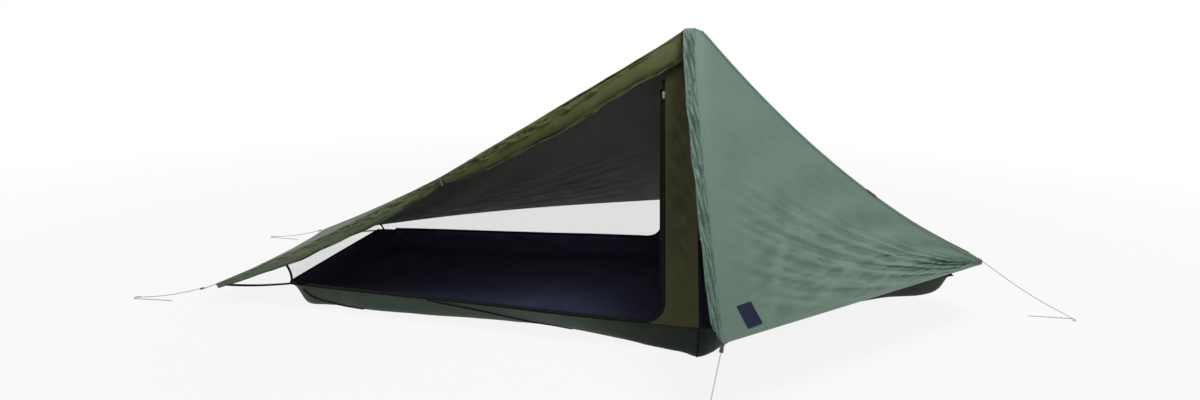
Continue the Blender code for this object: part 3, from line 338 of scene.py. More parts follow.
def rollSurface(p, r):
    # the outer turn: the cloth drops flat from the seam, dips into a groove, and swells into the rolled edge
    s = rollPlace(p)
    centre, down, out, depth, breadth = rollCentre(s)
    angle = math.radians(roll["sweep"] / 2) - math.radians(roll["sweep"]) * r
    spread = 1 - roll["wrap"] * capped((r - 0.42) / 0.03) * capped((1 - r) / 0.4)
    groove = np.interp(s, roll["places"], roll["grooves"])
    front = capped(np.sin(angle) * 2)
    drop = 1 - (1 + np.cos(angle)) / 2
    # the groove wavers; near the peak a second one runs lower down
    waver = 0.05 * smoothNoise(p * 14, p * 0, 33, 5, 1.0, 4.0)
    dip = np.exp(-((drop - groove - waver) / 0.06) ** 2)
    dip = dip + 0.6 * np.exp(-((drop - 0.86 - waver) / 0.035) ** 2) * capped((0.3 - s) / 0.1)
    flatTop = capped((groove + waver - drop) / 0.2)
    press = 1 - front * np.clip(0.98 * dip + 0.72 * flatTop, 0, 0.96)
    lengthways = crumple(p * 9, r * 7.0, 31, 8, 1.0, 3.4) - 0.6
    slanted = crumple(p * 15 + r * 5, r * 4.0 - p * 8, 32, 7, 1.0, 2.6) - 0.6
    bulge = np.clip((drop - groove) / 0.12, 0.25, 1)
    wrinkle = (0.5 * lengthways + 0.75 * slanted * bulge) * hump(capped(r * 1.1))
    deep = np.cos(angle) * depth / 2 * spread * (1 + 0.16 * wrinkle)
    broad = np.sin(angle) * breadth / 2 * spread * (1 + wrinkle * 0.3) * press
    broad = broad + front * roll["wrinkle"] * wrinkle * press ** 0.5
    return centre + down * deep[..., None] + out * broad[..., None]


def hingeLine(q):
    # straight between two points of the wall's ruled surface: the foot corner and the zip's top
    ends = at(rimEdge(), np.array([-inner["doorFoot"], -inner["zipReach"]]))
    tops = underRoof(np.array([-inner["hingeFoot"], -inner["zipTopReach"]]))
    heights = np.array([inner["hingeFootHeight"], inner["zipTopHeight"]])
    line = between(ends, tops, (heights - ends[:, 2]) / (tops[:, 2] - ends[:, 2]))
    line[:, 0] = (-inner["hingeFoot"], -inner["zipTopReach"])
    return between(line[0], line[1], np.asarray(q))


def overRim(x):
    # a point on the bathtub's rim, lifted clear of it
    return at(rimEdge(), x) + upward * inner["rimGap"]


def wallPoint(column, row):
    # the netting door's own ruled surface: column foot to zip, row from the bathtub's rim to the hinge
    low = overRim(-inner["doorFoot"] + (inner["doorFoot"] - inner["zipReach"]) * column)
    return between(low, hingeLine(column), row)


one, nil = np.ones(1), np.zeros(1)
doorHeight = float(np.linalg.norm(wallPoint(one, one) - wallPoint(one, nil)))
doorLength = float(np.linalg.norm(wallPoint(one, nil) - wallPoint(nil, nil)))
radiusRow = inner["zipRadius"] / doorHeight
columnSamples = shares(40)
columnSpans = wallPoint(columnSamples, np.ones(40)) - wallPoint(columnSamples, np.zeros(40))
columnHeights = np.linalg.norm(columnSpans, axis=1)


def roundedColumn(row, radius):
    # the share of the door's length at each row: whole, but for the quarter circle low at the zip
    below = np.clip(inner["zipRadius"] - row * doorHeight, 0, radius)
    return 1 - (inner["zipRadius"] - np.sqrt(radius ** 2 - below ** 2)) / doorLength


def netDoorSurface(p, r):
    # the ruled wall with its corner rounded, kept the tape's width inside the zip's outer line; the first
    # three tenths of r are the corner's height
    quarter = radiusRow * (1 - np.cos(capped(r / 0.3) * math.pi / 2))
    rows = np.where(r < 0.3, quarter, radiusRow + (1 - radiusRow) * (r - 0.3) / 0.7)
    inset = inner["tapeWidth"] + 2 * inner["gap"]
    risen = inset / doorHeight + (1 - inset / doorHeight) * rows
    column = p * roundedColumn(risen, inner["zipRadius"] - inset)
    start = inset / np.interp(column, columnSamples, columnHeights)
    point = wallPoint(column, start + (1 - start) * rows)
    swell = hump(p) * hump(capped(r))
    point[..., 1] += inner["netBelly"] * swell * (1 + smoothNoise(p * 3, r * 2, 41, 5, 1, 3))
    return point


def zipPath(inset):
    # down the straight run, round the corner, then along the bathtub to the foot
    whole = inner["zipRadius"]
    radius = whole - inset
    rows = np.linspace(1, radiusRow, 60)[:-1]
    turns = np.linspace(0, math.pi / 2, 24)
    run = np.linspace(1 - whole / doorLength, 0.012, 120)[1:]
    upper = wallPoint(np.full(len(rows), 1 - inset / doorLength), rows)
    corner = wallPoint(
        1 - (whole - radius * np.cos(turns)) / doorLength, (whole - radius * np.sin(turns)) / doorHeight,
    )
    lower = wallPoint(run, inset / np.interp(run, columnSamples, columnHeights))
    return np.concatenate([upper, corner, lower])


def sidePanelSurface(p, r):
    # from the zip's outer line to the line over the bathtub's widest point
    rows = capped(r / inner["panelRow"])
    left = wallPoint(roundedColumn(rows, inner["zipRadius"]), rows)
    above = capped((r - inner["panelRow"]) / (1 - inner["panelRow"]))
    left = between(left, underRoof(np.array(-inner["zipTopReach"])), above)
    middle = between(overRim(stations()[widest]), underRoof(np.array(fly["capSplit"])), r)
    point = between(left, middle, p)
    swell = hump(p) * hump(r)
    crease = smoothNoise(p * 1.2, r * 7, 51, 6, 1, 4)
    point[..., 1] += inner["panelBelly"] * swell + inner["panelCrease"] * swell * crease
    return point


def headNetSurface(p, r):
    # ruled from the bathtub's rim, up to just short of the head end, to the line under the roof
    edge = rimEdge()
    last = len(edge) - 1
    place = widest + (last - widest - 0.15) * p
    low = np.stack([np.interp(place, np.arange(last + 1), edge[:, k]) for k in range(3)], axis=-1)
    low[..., 2] += inner["rimGap"]
    first, end = stations()[widest], edge[last, 0] * 0.85 + edge[last - 1, 0] * 0.15
    reach = (low[..., 0] - first) / (end - first)
    high = underRoof(fly["capSplit"] + (inner["topHead"] - 2 * inner["netInset"] - fly["capSplit"]) * reach)
    return between(low, high, r)


def topNetSurface(p, r):
    # the strip of netting between the hinge and the roof, then down the foot corner, where it leans out
    share, inset, foot = inner["cornerShare"], inner["netInset"], inner["topFoot"]
    hinge = hingeLine(capped((p - share) / (1 - share)))
    corner = capped(p / share)
    footRim = overRim(-foot + inset + (foot - inset - inner["doorFoot"] - inner["gap"]) * corner)
    lean = 2 * inset - inner["footLean"] * (1 - corner)
    footTop = underRoof(-foot + lean + (foot - inner["doorFoot"] - inset) * corner)
    atFoot = (p < share)[..., None]
    low = np.where(atFoot, footRim, hinge)
    high = np.where(atFoot, footTop, underRoof(hinge[..., 0]))
    point = between(low, high, r)
    point[..., 0] += inner["footBow"] * hump(capped(r)) * (1 - corner)
    return point


def endNetSurface(reach):
    # an upright strip across the tent's end; the foot one leans out and bows with the corner nets
    sign, atFoot, inset = (1 if reach > 0 else -1), reach < 0, inner["netInset"]
    inside = reach - sign * 2 * inset - inner["footLean"] * atFoot
    low = at(rimEdge(), np.array(reach - sign * inner["endTuck"]))
    high = underRoof(np.array(inside))
    base, top = low[2] + inner["rimGap"], high[2] - fly["roofSag"] - inner["wallDrop"]

    def surface(p, r):
        across, even = 2 * p - 1, np.ones(p.shape)
        bottomEdge = np.stack([even * reach, (-low[1] - inset) * across, even * base], axis=-1)
        topEdge = np.stack([even * inside, (-high[1] - inset) * across, even * top], axis=-1)
        point = between(bottomEdge, topEdge, r)
        point[..., 0] += inner["footBow"] * atFoot * hump(capped(r))
        return point
    return surface


def tubCage():
    # rows from foot to head; each row runs from the near rim, down, across the floor and up to the far rim
    low, rim = floorEdge(), rimEdge()
    across = np.array([-1.0, -0.55, 0.0, 0.55, 1.0])
    rows = []
    for k in range(len(low)):
        middle = np.stack([np.full(5, low[k, 0]), -low[k, 1] * across, np.full(5, low[k, 2])], axis=1)
        near = rim[k].copy()
        if k == 0:
            near[:2] = rim[0, :2] * 0.65 + rim[1, :2] * 0.35
        if k == len(low) - 1:
            near = rim[-1] * 0.65 + rim[-2] * 0.35
        rows.append(np.concatenate([near[None], middle, mirrored(near[None], 1)]))
    halves = np.array([-1.0, -0.75, -0.4, 0.0, 0.4, 0.75, 1.0])
    ends = [
        np.stack([np.full(7, rim[k, 0]), -rim[k, 1] * halves, np.full(7, rim[k, 2])], axis=1) for k in (0, -1)
    ]
    return np.stack([ends[0], *rows, ends[1]]) + upward * inner["cageLift"]


# Meshes. A part is its points, faces, UV in metres and the material mark of each face.
def gridNormals(grid):
    # the cross product of the grid's two slopes
    return unit(np.cross(np.gradient(grid, axis=0), np.gradient(grid, axis=1)))


def hollowsOf(grid, normals):
    # how far each point lies under the mean of its neighbours: above zero in a fold's hollow, below on
    # its crest
    smooth = grid
    for _ in range(12):
        padded = np.pad(smooth, ((1, 1), (1, 1), (0, 0)), mode="edge")
        along = (padded[:-2] + 2 * padded[1:-1] + padded[2:]) / 4
        smooth = (along[:, :-2] + 2 * along[:, 1:-1] + along[:, 2:]) / 4
    return np.sum((smooth - grid) * normals, axis=2).ravel()


def clothPart(grid, thickness, outward, lift=0.0, marks=(0, 1, 0)):
    # the grid set half a thickness to each side along its normals, and closed round its rim
    normals = gridNormals(grid)
    if np.sum(normals * np.asarray(outward)) < 0:
        grid, normals = grid[::-1], -normals[::-1]
    rows, columns = grid.shape[:2]
    outer, back = (grid + normals * (lift + half) for half in (thickness / 2, -thickness / 2))
    count = rows * columns
    index = np.arange(count).reshape(rows, columns)
    quads = np.stack([index[:-1, :-1], index[1:, :-1], index[1:, 1:], index[:-1, 1:]], axis=-1).reshape(-1, 4)
    rim = np.concatenate([index[:-1, 0], index[-1, :-1], index[:0:-1, -1], index[0, :0:-1]])
    after = np.roll(rim, -1)
    edge = np.stack([after, rim, rim + count, after + count], axis=1)
    # the UV is the distance run along and across the cloth
    steps = (np.linalg.norm(np.diff(grid, axis=axis), axis=2) for axis in (0, 1))
    runs = [np.cumsum(np.insert(step, 0, 0, axis), axis=axis) for axis, step in enumerate(steps)]
    uv = np.stack(runs, axis=-1).reshape(-1, 2)
    return dict(
        points=np.concatenate([outer.reshape(-1, 3), back.reshape(-1, 3)]),
        faces=np.concatenate([quads, quads[:, ::-1] + count, edge]).tolist(),
        uv=np.concatenate([uv, uv]),
        hollow=np.outer([1, -1], hollowsOf(grid, normals)).ravel(),
        marks=np.repeat(np.broadcast_to(marks, 3), [len(quads), len(quads), len(edge)]),
    )


def ringFaces(rings, corners):
    # quads between neighbouring rings, and a cap on each end
    index = np.arange(rings * corners).reshape(rings, corners)
    after = np.roll(index, -1, axis=1)
    quads = np.stack([index[:-1], after[:-1], after[1:], index[1:]], axis=-1).reshape(-1, 4).tolist()
    return [*quads, index[0, ::-1].tolist(), index[-1].tolist()]


def tubePart(path, radius, corners=10, mark=0):
    # circles carried along a path, each turned as little as it can be from the last
    ahead = unit(np.gradient(path, axis=0))
    across = np.empty_like(path)
    guess = upward if abs(ahead[0, 2]) < 0.9 else np.array([1.0, 0.0, 0.0])
    for k, direction in enumerate(ahead):
        guess = guess - direction * np.dot(guess, direction)
        guess = guess / np.linalg.norm(guess)
        across[k] = guess
    third = np.cross(ahead, across)
    turn = np.linspace(0, 2 * math.pi, corners, endpoint=False)
    ring = across[:, None] * np.cos(turn)[None, :, None] + third[:, None] * np.sin(turn)[None, :, None]
    faces = ringFaces(len(path), corners)
    lengths = np.concatenate([[0], np.cumsum(np.linalg.norm(np.diff(path, axis=0), axis=1))])
    uv = np.stack(np.broadcast_arrays(lengths[:, None], turn[None] * radius), axis=-1)
    return dict(
        points=(path[:, None] + ring * radius).reshape(-1, 3), faces=faces, uv=uv.reshape(-1, 2),
        marks=np.full(len(faces), mark),
    )


def stripPart(path, normals, width, thickness, columns=5):
    # a webbing strip: the path spread sideways, square to its own normal at each point
    ahead = unit(np.gradient(path, axis=0))
    normals = unit(normals - ahead * np.sum(normals * ahead, axis=1, keepdims=True))
    spread = np.linspace(-width / 2, width / 2, columns)
    grid = path[:, None] + np.cross(ahead, normals)[:, None] * spread[None, :, None]
    return clothPart(grid, thickness, normals[:, None], 0.0, 0)


def addPiece(name, parts, finishes, slot, *stands, body="tent"):
    # one object from its parts, with the finishes that its marks count, standing for its CAD nodes
    parts = parts if isinstance(parts, list) else [parts]
    base = np.cumsum([0] + [len(part["points"]) for part in parts])
    faces = [[spot + shift for spot in face] for part, shift in zip(parts, base) for face in part["faces"]]
    points, uv, marks = (np.concatenate([part[key] for part in parts]) for key in ("points", "uv", "marks"))
    hollow = np.concatenate([part.get("hollow", np.zeros(len(part["points"]))) for part in parts])
    mesh = bpy.data.meshes.new(name)
    mesh.from_pydata(points.tolist(), [], faces)
    corners = np.empty(len(mesh.loops), np.int32)
    mesh.loops.foreach_get("vertex_index", corners)
    mesh.uv_layers.new(name="UVMap").data.foreach_set("uv", uv.astype(np.float32)[corners].ravel())
    for key in finishes.split():
        mesh.materials.append(finish[key])
    # the hollow attribute drives the cloth materials' painted shade in folds and painted highlight on crests
    mesh.attributes.new("hollow", "FLOAT", "POINT").data.foreach_set("value", hollow.astype(np.float32))
    mesh.polygons.foreach_set("material_index", marks.astype(np.int32))
    mesh.polygons.foreach_set("use_smooth", np.ones(len(faces), bool))
    mesh.set_sharp_from_angle(angle=math.radians(50))
    mesh.update()
    made = addObject(name, mesh)
    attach(made, body)
    if stands:
        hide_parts(*stands)
    return made


def spanned(surface, p, r, side=-1):
    # a surface's points on a grid; p and r are its places each way, or how many evenly spaced ones
    p, r = (shares(v) if isinstance(v, int) else v for v in (p, r))
    return mirrored(surface(*np.meshgrid(p, r, indexing="ij")), side)


def edgeBand(surface, edge, width, count, span=(0, 1), side=-1, columns=4, start=0.0):
    # a strip that follows one edge of a surface and reaches a width into it
    t, step = np.linspace(*span, count), 0.03
    nil, one = 0 * t, 0 * t + 1
    p, r, nextP, nextR = dict(
        low=(t, nil, t, nil + step), high=(t, one, t, one - step),
        start=(nil, t, nil + step, t), end=(one, t, one - step, t),
    )[edge]
    base = surface(p, r)
    into = unit(surface(nextP, nextR) - base)
    reach = np.linspace(start, start + width, columns)
    return mirrored(base[:, None] + into[:, None] * reach[None, :, None], side)


def declareCloth(piece, grid):
    # works out the flat cut, the cloth's longest run each way with the area of its own surface, and keeps
    # none of it
    step0, step1 = np.diff(grid, axis=0), np.diff(grid, axis=1)
    long = float(np.linalg.norm(step0, axis=2).sum(axis=0).max())
    wide = float(np.linalg.norm(step1, axis=2).sum(axis=1).max())
    area = np.linalg.norm(np.cross(step0[:, :-1], step1[:-1]), axis=2).sum()
    area = float(np.clip(area, 0.32 * long * wide, long * wide))


# Materials
def linearFrom(code):
    # sRGB hex to linear red, green and blue
    parts = np.array([int(code[k:k + 2], 16) / 255 for k in (1, 3, 5)])
    linear = np.where(parts <= 0.04045, parts / 12.92, ((parts + 0.055) / 1.055) ** 2.4)
    return (*linear.tolist(), 1.0)


def addNode(tree, kind, inputs=(), **settings):
    # a node with its settings; inputs are a list in the node's own order, or a dictionary; each is set to a
    # value or a hex colour, or linked to a socket or to a node's first output
    node = tree.nodes.new("ShaderNode" + kind)
    for name, value in settings.items():
        setattr(node, name, value)
    for name, value in inputs.items() if isinstance(inputs, dict) else enumerate(inputs):
        if isinstance(value, bpy.types.Node):
            value = value.outputs[0]
        if isinstance(value, str):
            value = linearFrom(value)
        if isinstance(value, bpy.types.NodeSocket):
            tree.links.new(value, node.inputs[name])
        else:
            node.inputs[name].default_value = value
    return node


def newMaterial(name, values):
    # a material with its shader's values, its nodes, and where a texture takes its place from
    made = bpy.data.materials.new(name)
    made.use_nodes = True
    tree = made.node_tree
    for socket, value in values.items():
        tree.nodes["Principled BSDF"].inputs[socket].default_value = value
    return made, tree, addNode(tree, "TexCoord")


def finished(made, colour, height, strength, distance):
    # the shader's colour, and a bump of a given depth in metres from the pattern's height
    tree = made.node_tree
    bump = addNode(tree, "Bump", {"Strength": strength, "Distance": distance, "Height": height})
    shader = tree.nodes["Principled BSDF"]
    tree.links.new(colour, shader.inputs["Base Color"])
    tree.links.new(bump.outputs[0], shader.inputs["Normal"])
    return made


def lineMask(tree, axis, spacing, share):
    # 1 on a line of a given share of its spacing, 0 between
    turns = addNode(tree, "Math", [axis, 1 / spacing], operation="MULTIPLY")
    part = addNode(tree, "Math", [turns], operation="FRACT")
    return addNode(tree, "Math", [part, share], operation="LESS_THAN")


def threadGrid(tree, place, spacing, share):
    # 1 on a square grid of threads, 0 between them
    axes = addNode(tree, "SeparateXYZ", [place.outputs["UV"]])
    along, across = (lineMask(tree, axes.outputs[name], spacing, share) for name in "XY")
    return addNode(tree, "Math", [along, across], operation="MAXIMUM")


weave = dict(
    threadShare=0.13, threadShow=0.12, threadRise=0.12, mottleScale=5.0, mottleShare=0.38, paintedLightShare=0.8,
    paintedCrestHighlight=0.4, foldScale=26.0, bump=0.55, bumpReach=5,
)


def wovenCloth(
    name, colour, pale, roughness, spacing=0.005, crease=0.0009, paintedLight=None, foldShade=0.35, foldDepth=0.0015,
):
    # plain-weave coated nylon: a crisp grid of thicker threads, soft creases, a slight sheen; painted shade
    # darkens its folds' hollows and painted highlight lightens their crests
    values = {"Roughness": roughness, "Sheen Weight": 0.02, "Specular IOR Level": 0.22}
    made, tree, place = newMaterial(name, values)
    spot = place.outputs["Object"]
    grid = threadGrid(tree, place, spacing, weave["threadShare"])
    shown = addNode(tree, "Math", [grid, weave["threadShow"]], operation="MULTIPLY")
    mottle = addNode(tree, "TexNoise", {"Vector": spot, "Scale": weave["mottleScale"], "Detail": 4.0})
    spread = addNode(tree, "MapRange", [mottle, 0.3, 0.7, 0.0, weave["mottleShare"]])
    ground = addNode(
        tree, "Mix", {0: spread, 6: colour, 7: pale}, data_type="RGBA",
    ).outputs[2]
    if paintedLight:
        # painted light and painted shade: from one X in metres to another the cloth turns toward a third
        # colour
        stop, start, tint = paintedLight
        far = addNode(tree, "SeparateXYZ", [spot])
        ease = addNode(tree, "MapRange", [far, start, stop, 0.0, weave["paintedLightShare"]])
        ground = addNode(tree, "Mix", {0: ease, 6: ground, 7: tint}, data_type="RGBA").outputs[2]
    ground = addNode(tree, "Mix", {0: shown, 6: ground, 7: pale}, data_type="RGBA").outputs[2]
    # painted shade: a fold's hollow is darkened where less light would reach it, and its crest is made paler
    # as a painted highlight
    hollow = addNode(tree, "Attribute", attribute_name="hollow").outputs["Fac"]
    crest = 1 + foldShade * weave["paintedCrestHighlight"]
    shade = addNode(tree, "MapRange", [hollow, -foldDepth, foldDepth, crest, 1 - foldShade])
    shaded = addNode(tree, "VectorMath", {0: ground, "Scale": shade}, operation="SCALE")
    folds = addNode(tree, "TexNoise", {"Vector": spot, "Scale": weave["foldScale"], "Detail": 5.0})
    raised = addNode(tree, "Math", [grid, weave["threadRise"]], operation="MULTIPLY")
    height = addNode(tree, "Math", [folds, raised], operation="ADD")
    return finished(made, shaded.outputs[0], height, weave["bump"], crease * weave["bumpReach"])


def netting(name, colour, low, high, spacing=0.0022):
    # knitted mesh of fine black yarn with open holes, so what lies behind shows darkened; the real holes are
    # about 0.5 mm, finer than a pixel, so the yarn is drawn 2.2 mm apart
    values = {"Base Color": linearFrom(colour), "Roughness": 0.85, "Specular IOR Level": 0.2}
    made, tree, place = newMaterial(name, values)
    yarn = threadGrid(tree, place, spacing, 0.16)
    cover = addNode(tree, "MapRange", [yarn, 0.0, 1.0, low, high])
    tree.links.new(cover.outputs[0], tree.nodes["Principled BSDF"].inputs["Alpha"])
    return made


def webbing(name, colour, pale, rib=0.0025):
    # flat woven tape: cross ribs and a slightly paler raised yarn
    values = {"Roughness": 0.85, "Sheen Weight": 0.03, "Specular IOR Level": 0.2}
    made, tree, place = newMaterial(name, values)
    axes = addNode(tree, "SeparateXYZ", [place.outputs["UV"]])
    turns = addNode(tree, "Math", [axes, 2 * math.pi / rib], operation="MULTIPLY")
    wave = addNode(tree, "Math", [turns], operation="SINE")
    rise = addNode(tree, "MapRange", [wave, -1.0, 1.0, 0.0, 1.0])
    mixed = addNode(tree, "Mix", {0: rise, 6: colour, 7: pale}, data_type="RGBA")
    return finished(made, mixed.outputs[2], rise, 0.5, 0.0005)


def seamTape(name, colour, thread, width, inset=0.0025, stitch=0.0045, threadHalf=0.0006):
    # a folded tape with a row of lock stitches near each edge, 4.5 mm a stitch so that they show
    made, tree, place = newMaterial(name, {"Roughness": 0.72, "Sheen Weight": 0.1, "Specular IOR Level": 0.3})
    axes = addNode(tree, "SeparateXYZ", [place.outputs["UV"]])
    rows = []
    for middle in (inset, width - inset):
        off = addNode(tree, "Math", [axes.outputs["Y"], middle], operation="SUBTRACT")
        far = addNode(tree, "Math", [off], operation="ABSOLUTE")
        rows.append(addNode(tree, "Math", [far, threadHalf], operation="LESS_THAN"))
    either = addNode(tree, "Math", rows, operation="MAXIMUM")
    dash = lineMask(tree, axes.outputs["X"], stitch, 0.7)
    sewn = addNode(tree, "Math", [either, dash], operation="MULTIPLY")
    grain = addNode(tree, "TexNoise", {"Vector": place.outputs["Object"], "Scale": 60.0, "Detail": 3.0})
    ground = addNode(tree, "Mix", {0: grain, 6: colour, 7: thread}, data_type="RGBA").outputs[2]
    base = addNode(tree, "Mix", {0: 0.12, 6: colour, 7: ground}, data_type="RGBA").outputs[2]
    mixed = addNode(tree, "Mix", {0: sewn, 6: base, 7: thread}, data_type="RGBA")
    height = addNode(tree, "Math", [sewn, grain], operation="ADD")
    return finished(made, mixed.outputs[2], height, 0.5, 0.0008)


def hardFinish(name, colour, worn, roughness, metallic=0.0, scale=300.0, depth=0.0001, specular=0.5):
    # a moulded, foamed or drawn surface: fine grain in height, patches a little paler where handled
    values = {"Roughness": roughness, "Metallic": metallic, "Specular IOR Level": specular}
    made, tree, place = newMaterial(name, values)
    spot = place.outputs["Object"]
    patches = addNode(tree, "TexNoise", {"Vector": spot, "Scale": 25.0, "Detail": 4.0})
    share = addNode(tree, "MapRange", [patches, 0.45, 0.75, 0.0, 1.0])
    mixed = addNode(tree, "Mix", {0: share, 6: colour, 7: worn}, data_type="RGBA")
    grain = addNode(tree, "TexNoise", {"Vector": spot, "Scale": scale, "Detail": 2.0})
    return finished(made, mixed.outputs[2], grain, 0.4, depth)


def braidedCord(name, colour, fleck, pitch=0.004):
    # a braided sheath: two sets of yarn that cross, as slanted bands round and along the cord
    made, tree, place = newMaterial(name, {"Roughness": 0.8, "Sheen Weight": 0.2})
    axes = addNode(tree, "SeparateXYZ", [place.outputs["UV"]])
    bands = []
    for way in ("ADD", "SUBTRACT"):
        slant = addNode(tree, "Math", [axes.outputs["X"], axes.outputs["Y"]], operation=way)
        bands.append(lineMask(tree, slant, pitch, 0.5))
    both = addNode(tree, "Math", bands, operation="MULTIPLY")
    mixed = addNode(tree, "Mix", {0: both, 6: colour, 7: fleck}, data_type="RGBA")
    return finished(made, mixed.outputs[2], both, 0.4, 0.0004)


# Each cloth is woven, then coated on its inner face: the outside shows the dyed yarn, the inside is duller
# and paler. The ripstop threads stand 5 mm apart in thin nylon, 4 mm in the thicker oxford.
footPaintedLight = (-1.75, -0.75)
finish = dict(
    # thin dyed nylon, satin from its coating; toward the foot it is painted greyer, as painted light for how
    # it lies flatter to the light
    roof=wovenCloth("coatedRipstopNylonOlive", "#4B5129", "#596136", 0.6, paintedLight=(*footPaintedLight, "#75836F")),
    roofInside=wovenCloth("coatedRipstopNylonOliveInside", "#63664A", "#6D7054", 0.7),
    # the same cloth dyed sage; its folds are shallow, so they shade it little
    door=wovenCloth("coatedRipstopNylonSage", "#687F70", "#728A7B", 0.62, foldShade=0.22),
    # its inside is paler partly from the coating and partly as painted light, for the light that comes
    # through the thin cloth
    doorInside=wovenCloth("coatedRipstopNylonSageInside", "#98A094", "#A1A99D", 0.7, foldShade=0.14),
    # rolled and tied, so its sharp folds go from painted shade in their hollows to painted highlight on their
    # crests; toward the foot it is painted greyer, like the roof
    rolled=wovenCloth(
        "coatedRipstopNylonRolled", "#454B26", "#525A32", 0.6, paintedLight=(*footPaintedLight, "#6E7C68"),
        foldShade=0.85, foldDepth=0.0011,
    ),
    # gathered along the zip, a little glossier than the door; its puckers take painted shade in their hollows
    # and painted highlight on their crests
    flap=wovenCloth("coatedRipstopNylonFlap", "#617B71", "#6F877E", 0.58, crease=0.0013, foldShade=0.5),
    # thicker coated oxford, smooth and semi-gloss outside; under the door at the head it lies in shade,
    # painted into its colour as a darker tint toward the head
    tub=wovenCloth(
        "coatedOxfordNylonGreen", "#38473A", "#435345", 0.55, spacing=0.004, crease=0.0012,
        paintedLight=(-0.04, -0.45, "#0C100A"),
    ),
    tubInside=wovenCloth("coatedOxfordNylonInside", "#3C3F5C", "#444865", 0.65, spacing=0.004),
    # breathable nylon without a coating, so it is matt
    panel=wovenCloth("uncoatedRipstopNylonOlive", "#57583A", "#636444", 0.75, foldShade=0.3),
    net=netting("knittedNoSeeUmMesh", "#0B0C10", 0.03, 0.13),
    # dense woven tapes in matt black polyester; only the ribs catch light
    binding=webbing("wovenPolyesterBinding", "#08090A", "#101214"),
    strap=webbing("wovenPolyesterStrap", "#101112", "#1E2021", 0.003),
    zipTape=webbing("wovenZipTape", "#060608", "#0C0C10", 0.0015),
    zipCoil=webbing("wovenNylonZipCoil", "#0A0B0C", "#2A2C2E", 0.0030),
    # cloth folded over and sewn flat, paler than the cloth beside it because its edges catch the light
    roofSeam=seamTape("feltedSeamGreyGreen", "#5F6F60", "#7C8A7B", 0.013),
    doorSeam=seamTape("hemTapeSage", "#5F7568", "#8A9C90", 0.016),
    # a woven badge with an overlocked rim, both matt
    patch=wovenCloth("wovenPolyesterPatchNavy", "#172036", "#1E2942", 0.8, spacing=0.0025),
    patchRim=webbing("merrowedPatchRim", "#1B253D", "#2A3654", 0.002),
    # braided polyester, soft and matt with a fleck where the yarns cross
    cord=braidedCord("braidedPolyesterCordCream", "#C9C3AC", "#E4DFCB"),
    darkCord=braidedCord("braidedPolyesterCordBlack", "#101113", "#202225"),
    # injection moulded: even, with a soft highlight
    black=hardFinish("mouldedAcetalBlack", "#101112", "#1E2022", 0.42),
    # drawn tube, blasted and anodised: a satin metal with a long soft highlight
    shaft=hardFinish("anodisedAluminiumGrey", "#8A8D90", "#A3A6A8", 0.34, 1.0, 500.0, 0.00005),
    # moulded closed-cell foam: matt and slightly pitted
    grip=hardFinish("mouldedEvaFoamBlack", "#16171A", "#232529", 0.85, 0.0, 700.0, 0.0003, 0.25),
    # drawn and bent wire, bright but scuffed
    peg=hardFinish("drawnAluminiumAlloy", "#A9ACAE", "#BDBFC0", 0.36, 1.0, 400.0, 0.00005),
    # die cast and painted: smooth and pale, half glossy
    slider=hardFinish("paintedZincAlloySlider", "#9AA0A0", "#B5BABA", 0.45),
)
print("materials done")


# Camera, at the photograph's angle: it stands 2.5 m from the peak at eye level of someone sitting
view = dict(
    place=(-0.108, -2.473, 1.003), yaw=0.116, pitch=0.167, roll=-0.022, focal=583.23, centre=(590.27, 159.97),
    width=1200, height=400, sensor=36.0,
)


def addCamera():
    # forward from yaw and pitch; right and down are then turned about it by the roll
    yaw, pitch, tip = view["yaw"], view["pitch"], view["roll"]
    ahead = np.array([-math.sin(yaw) * math.cos(pitch), math.cos(yaw) * math.cos(pitch), -math.sin(pitch)])
    level = np.array([math.cos(yaw), math.sin(yaw), 0.0])
    down = np.cross(ahead, level)
    right = math.cos(tip) * level + math.sin(tip) * down
    below = -math.sin(tip) * level + math.cos(tip) * down
    lens = bpy.data.cameras.new("camera")
    lens.sensor_width = view["sensor"]
    lens.lens = view["focal"] / view["width"] * view["sensor"]
    lens.shift_x = (view["width"] / 2 - view["centre"][0]) / view["width"]
    lens.shift_y = (view["centre"][1] - view["height"] / 2) / view["width"]
    lens.clip_start, lens.clip_end = 0.05, 200.0
    camera = addObject("camera", lens)
    camera.matrix_world = stoodAt(right, -below, -ahead, view["place"])
    bpy.context.scene.camera = camera


addCamera()
print("camera done")


# Guylines: from each tightener's end, in a slight sag, to the peg that lies on the ground
lines = dict(
    radius=0.0015, pegRadius=0.002, gap=0.0003, lockLength=0.013, lockGap=0.0008, sag=0.03, clothDepth=0.0015,
    footPeg=(-2.226, -0.43), sidePeg=(0.0, -1.22), headPeg=(1.62, 0.0),
)


def lineEnds():
    # each guyline's corner on the fly and its peg, with the cloth's half depth at that corner
    head = headCorner + np.array([0, fly["headHalf"], 0])
    footPeg, sidePeg, headPeg = (np.array([*lines[key], 0.0]) for key in ("footPeg", "sidePeg", "headPeg"))
    half = lines["clothDepth"] / 2
    return dict(
        near_foot=(footCorner, footPeg, 0.0), far_foot=(mirrored(footCorner, 1), mirrored(footPeg, 1), 0.0),
        near_side=(sideCorner, sidePeg, half), far_side=(mirrored(sideCorner, 1), mirrored(sidePeg, 1), half),
        head=(head, headPeg, 0.0),
    )


def addCord(name, path, radius, key, slot, node):
    # a tight cord along its path, as long as the path is
    piece = addPiece(name, tubePart(path, radius), key, slot, node)


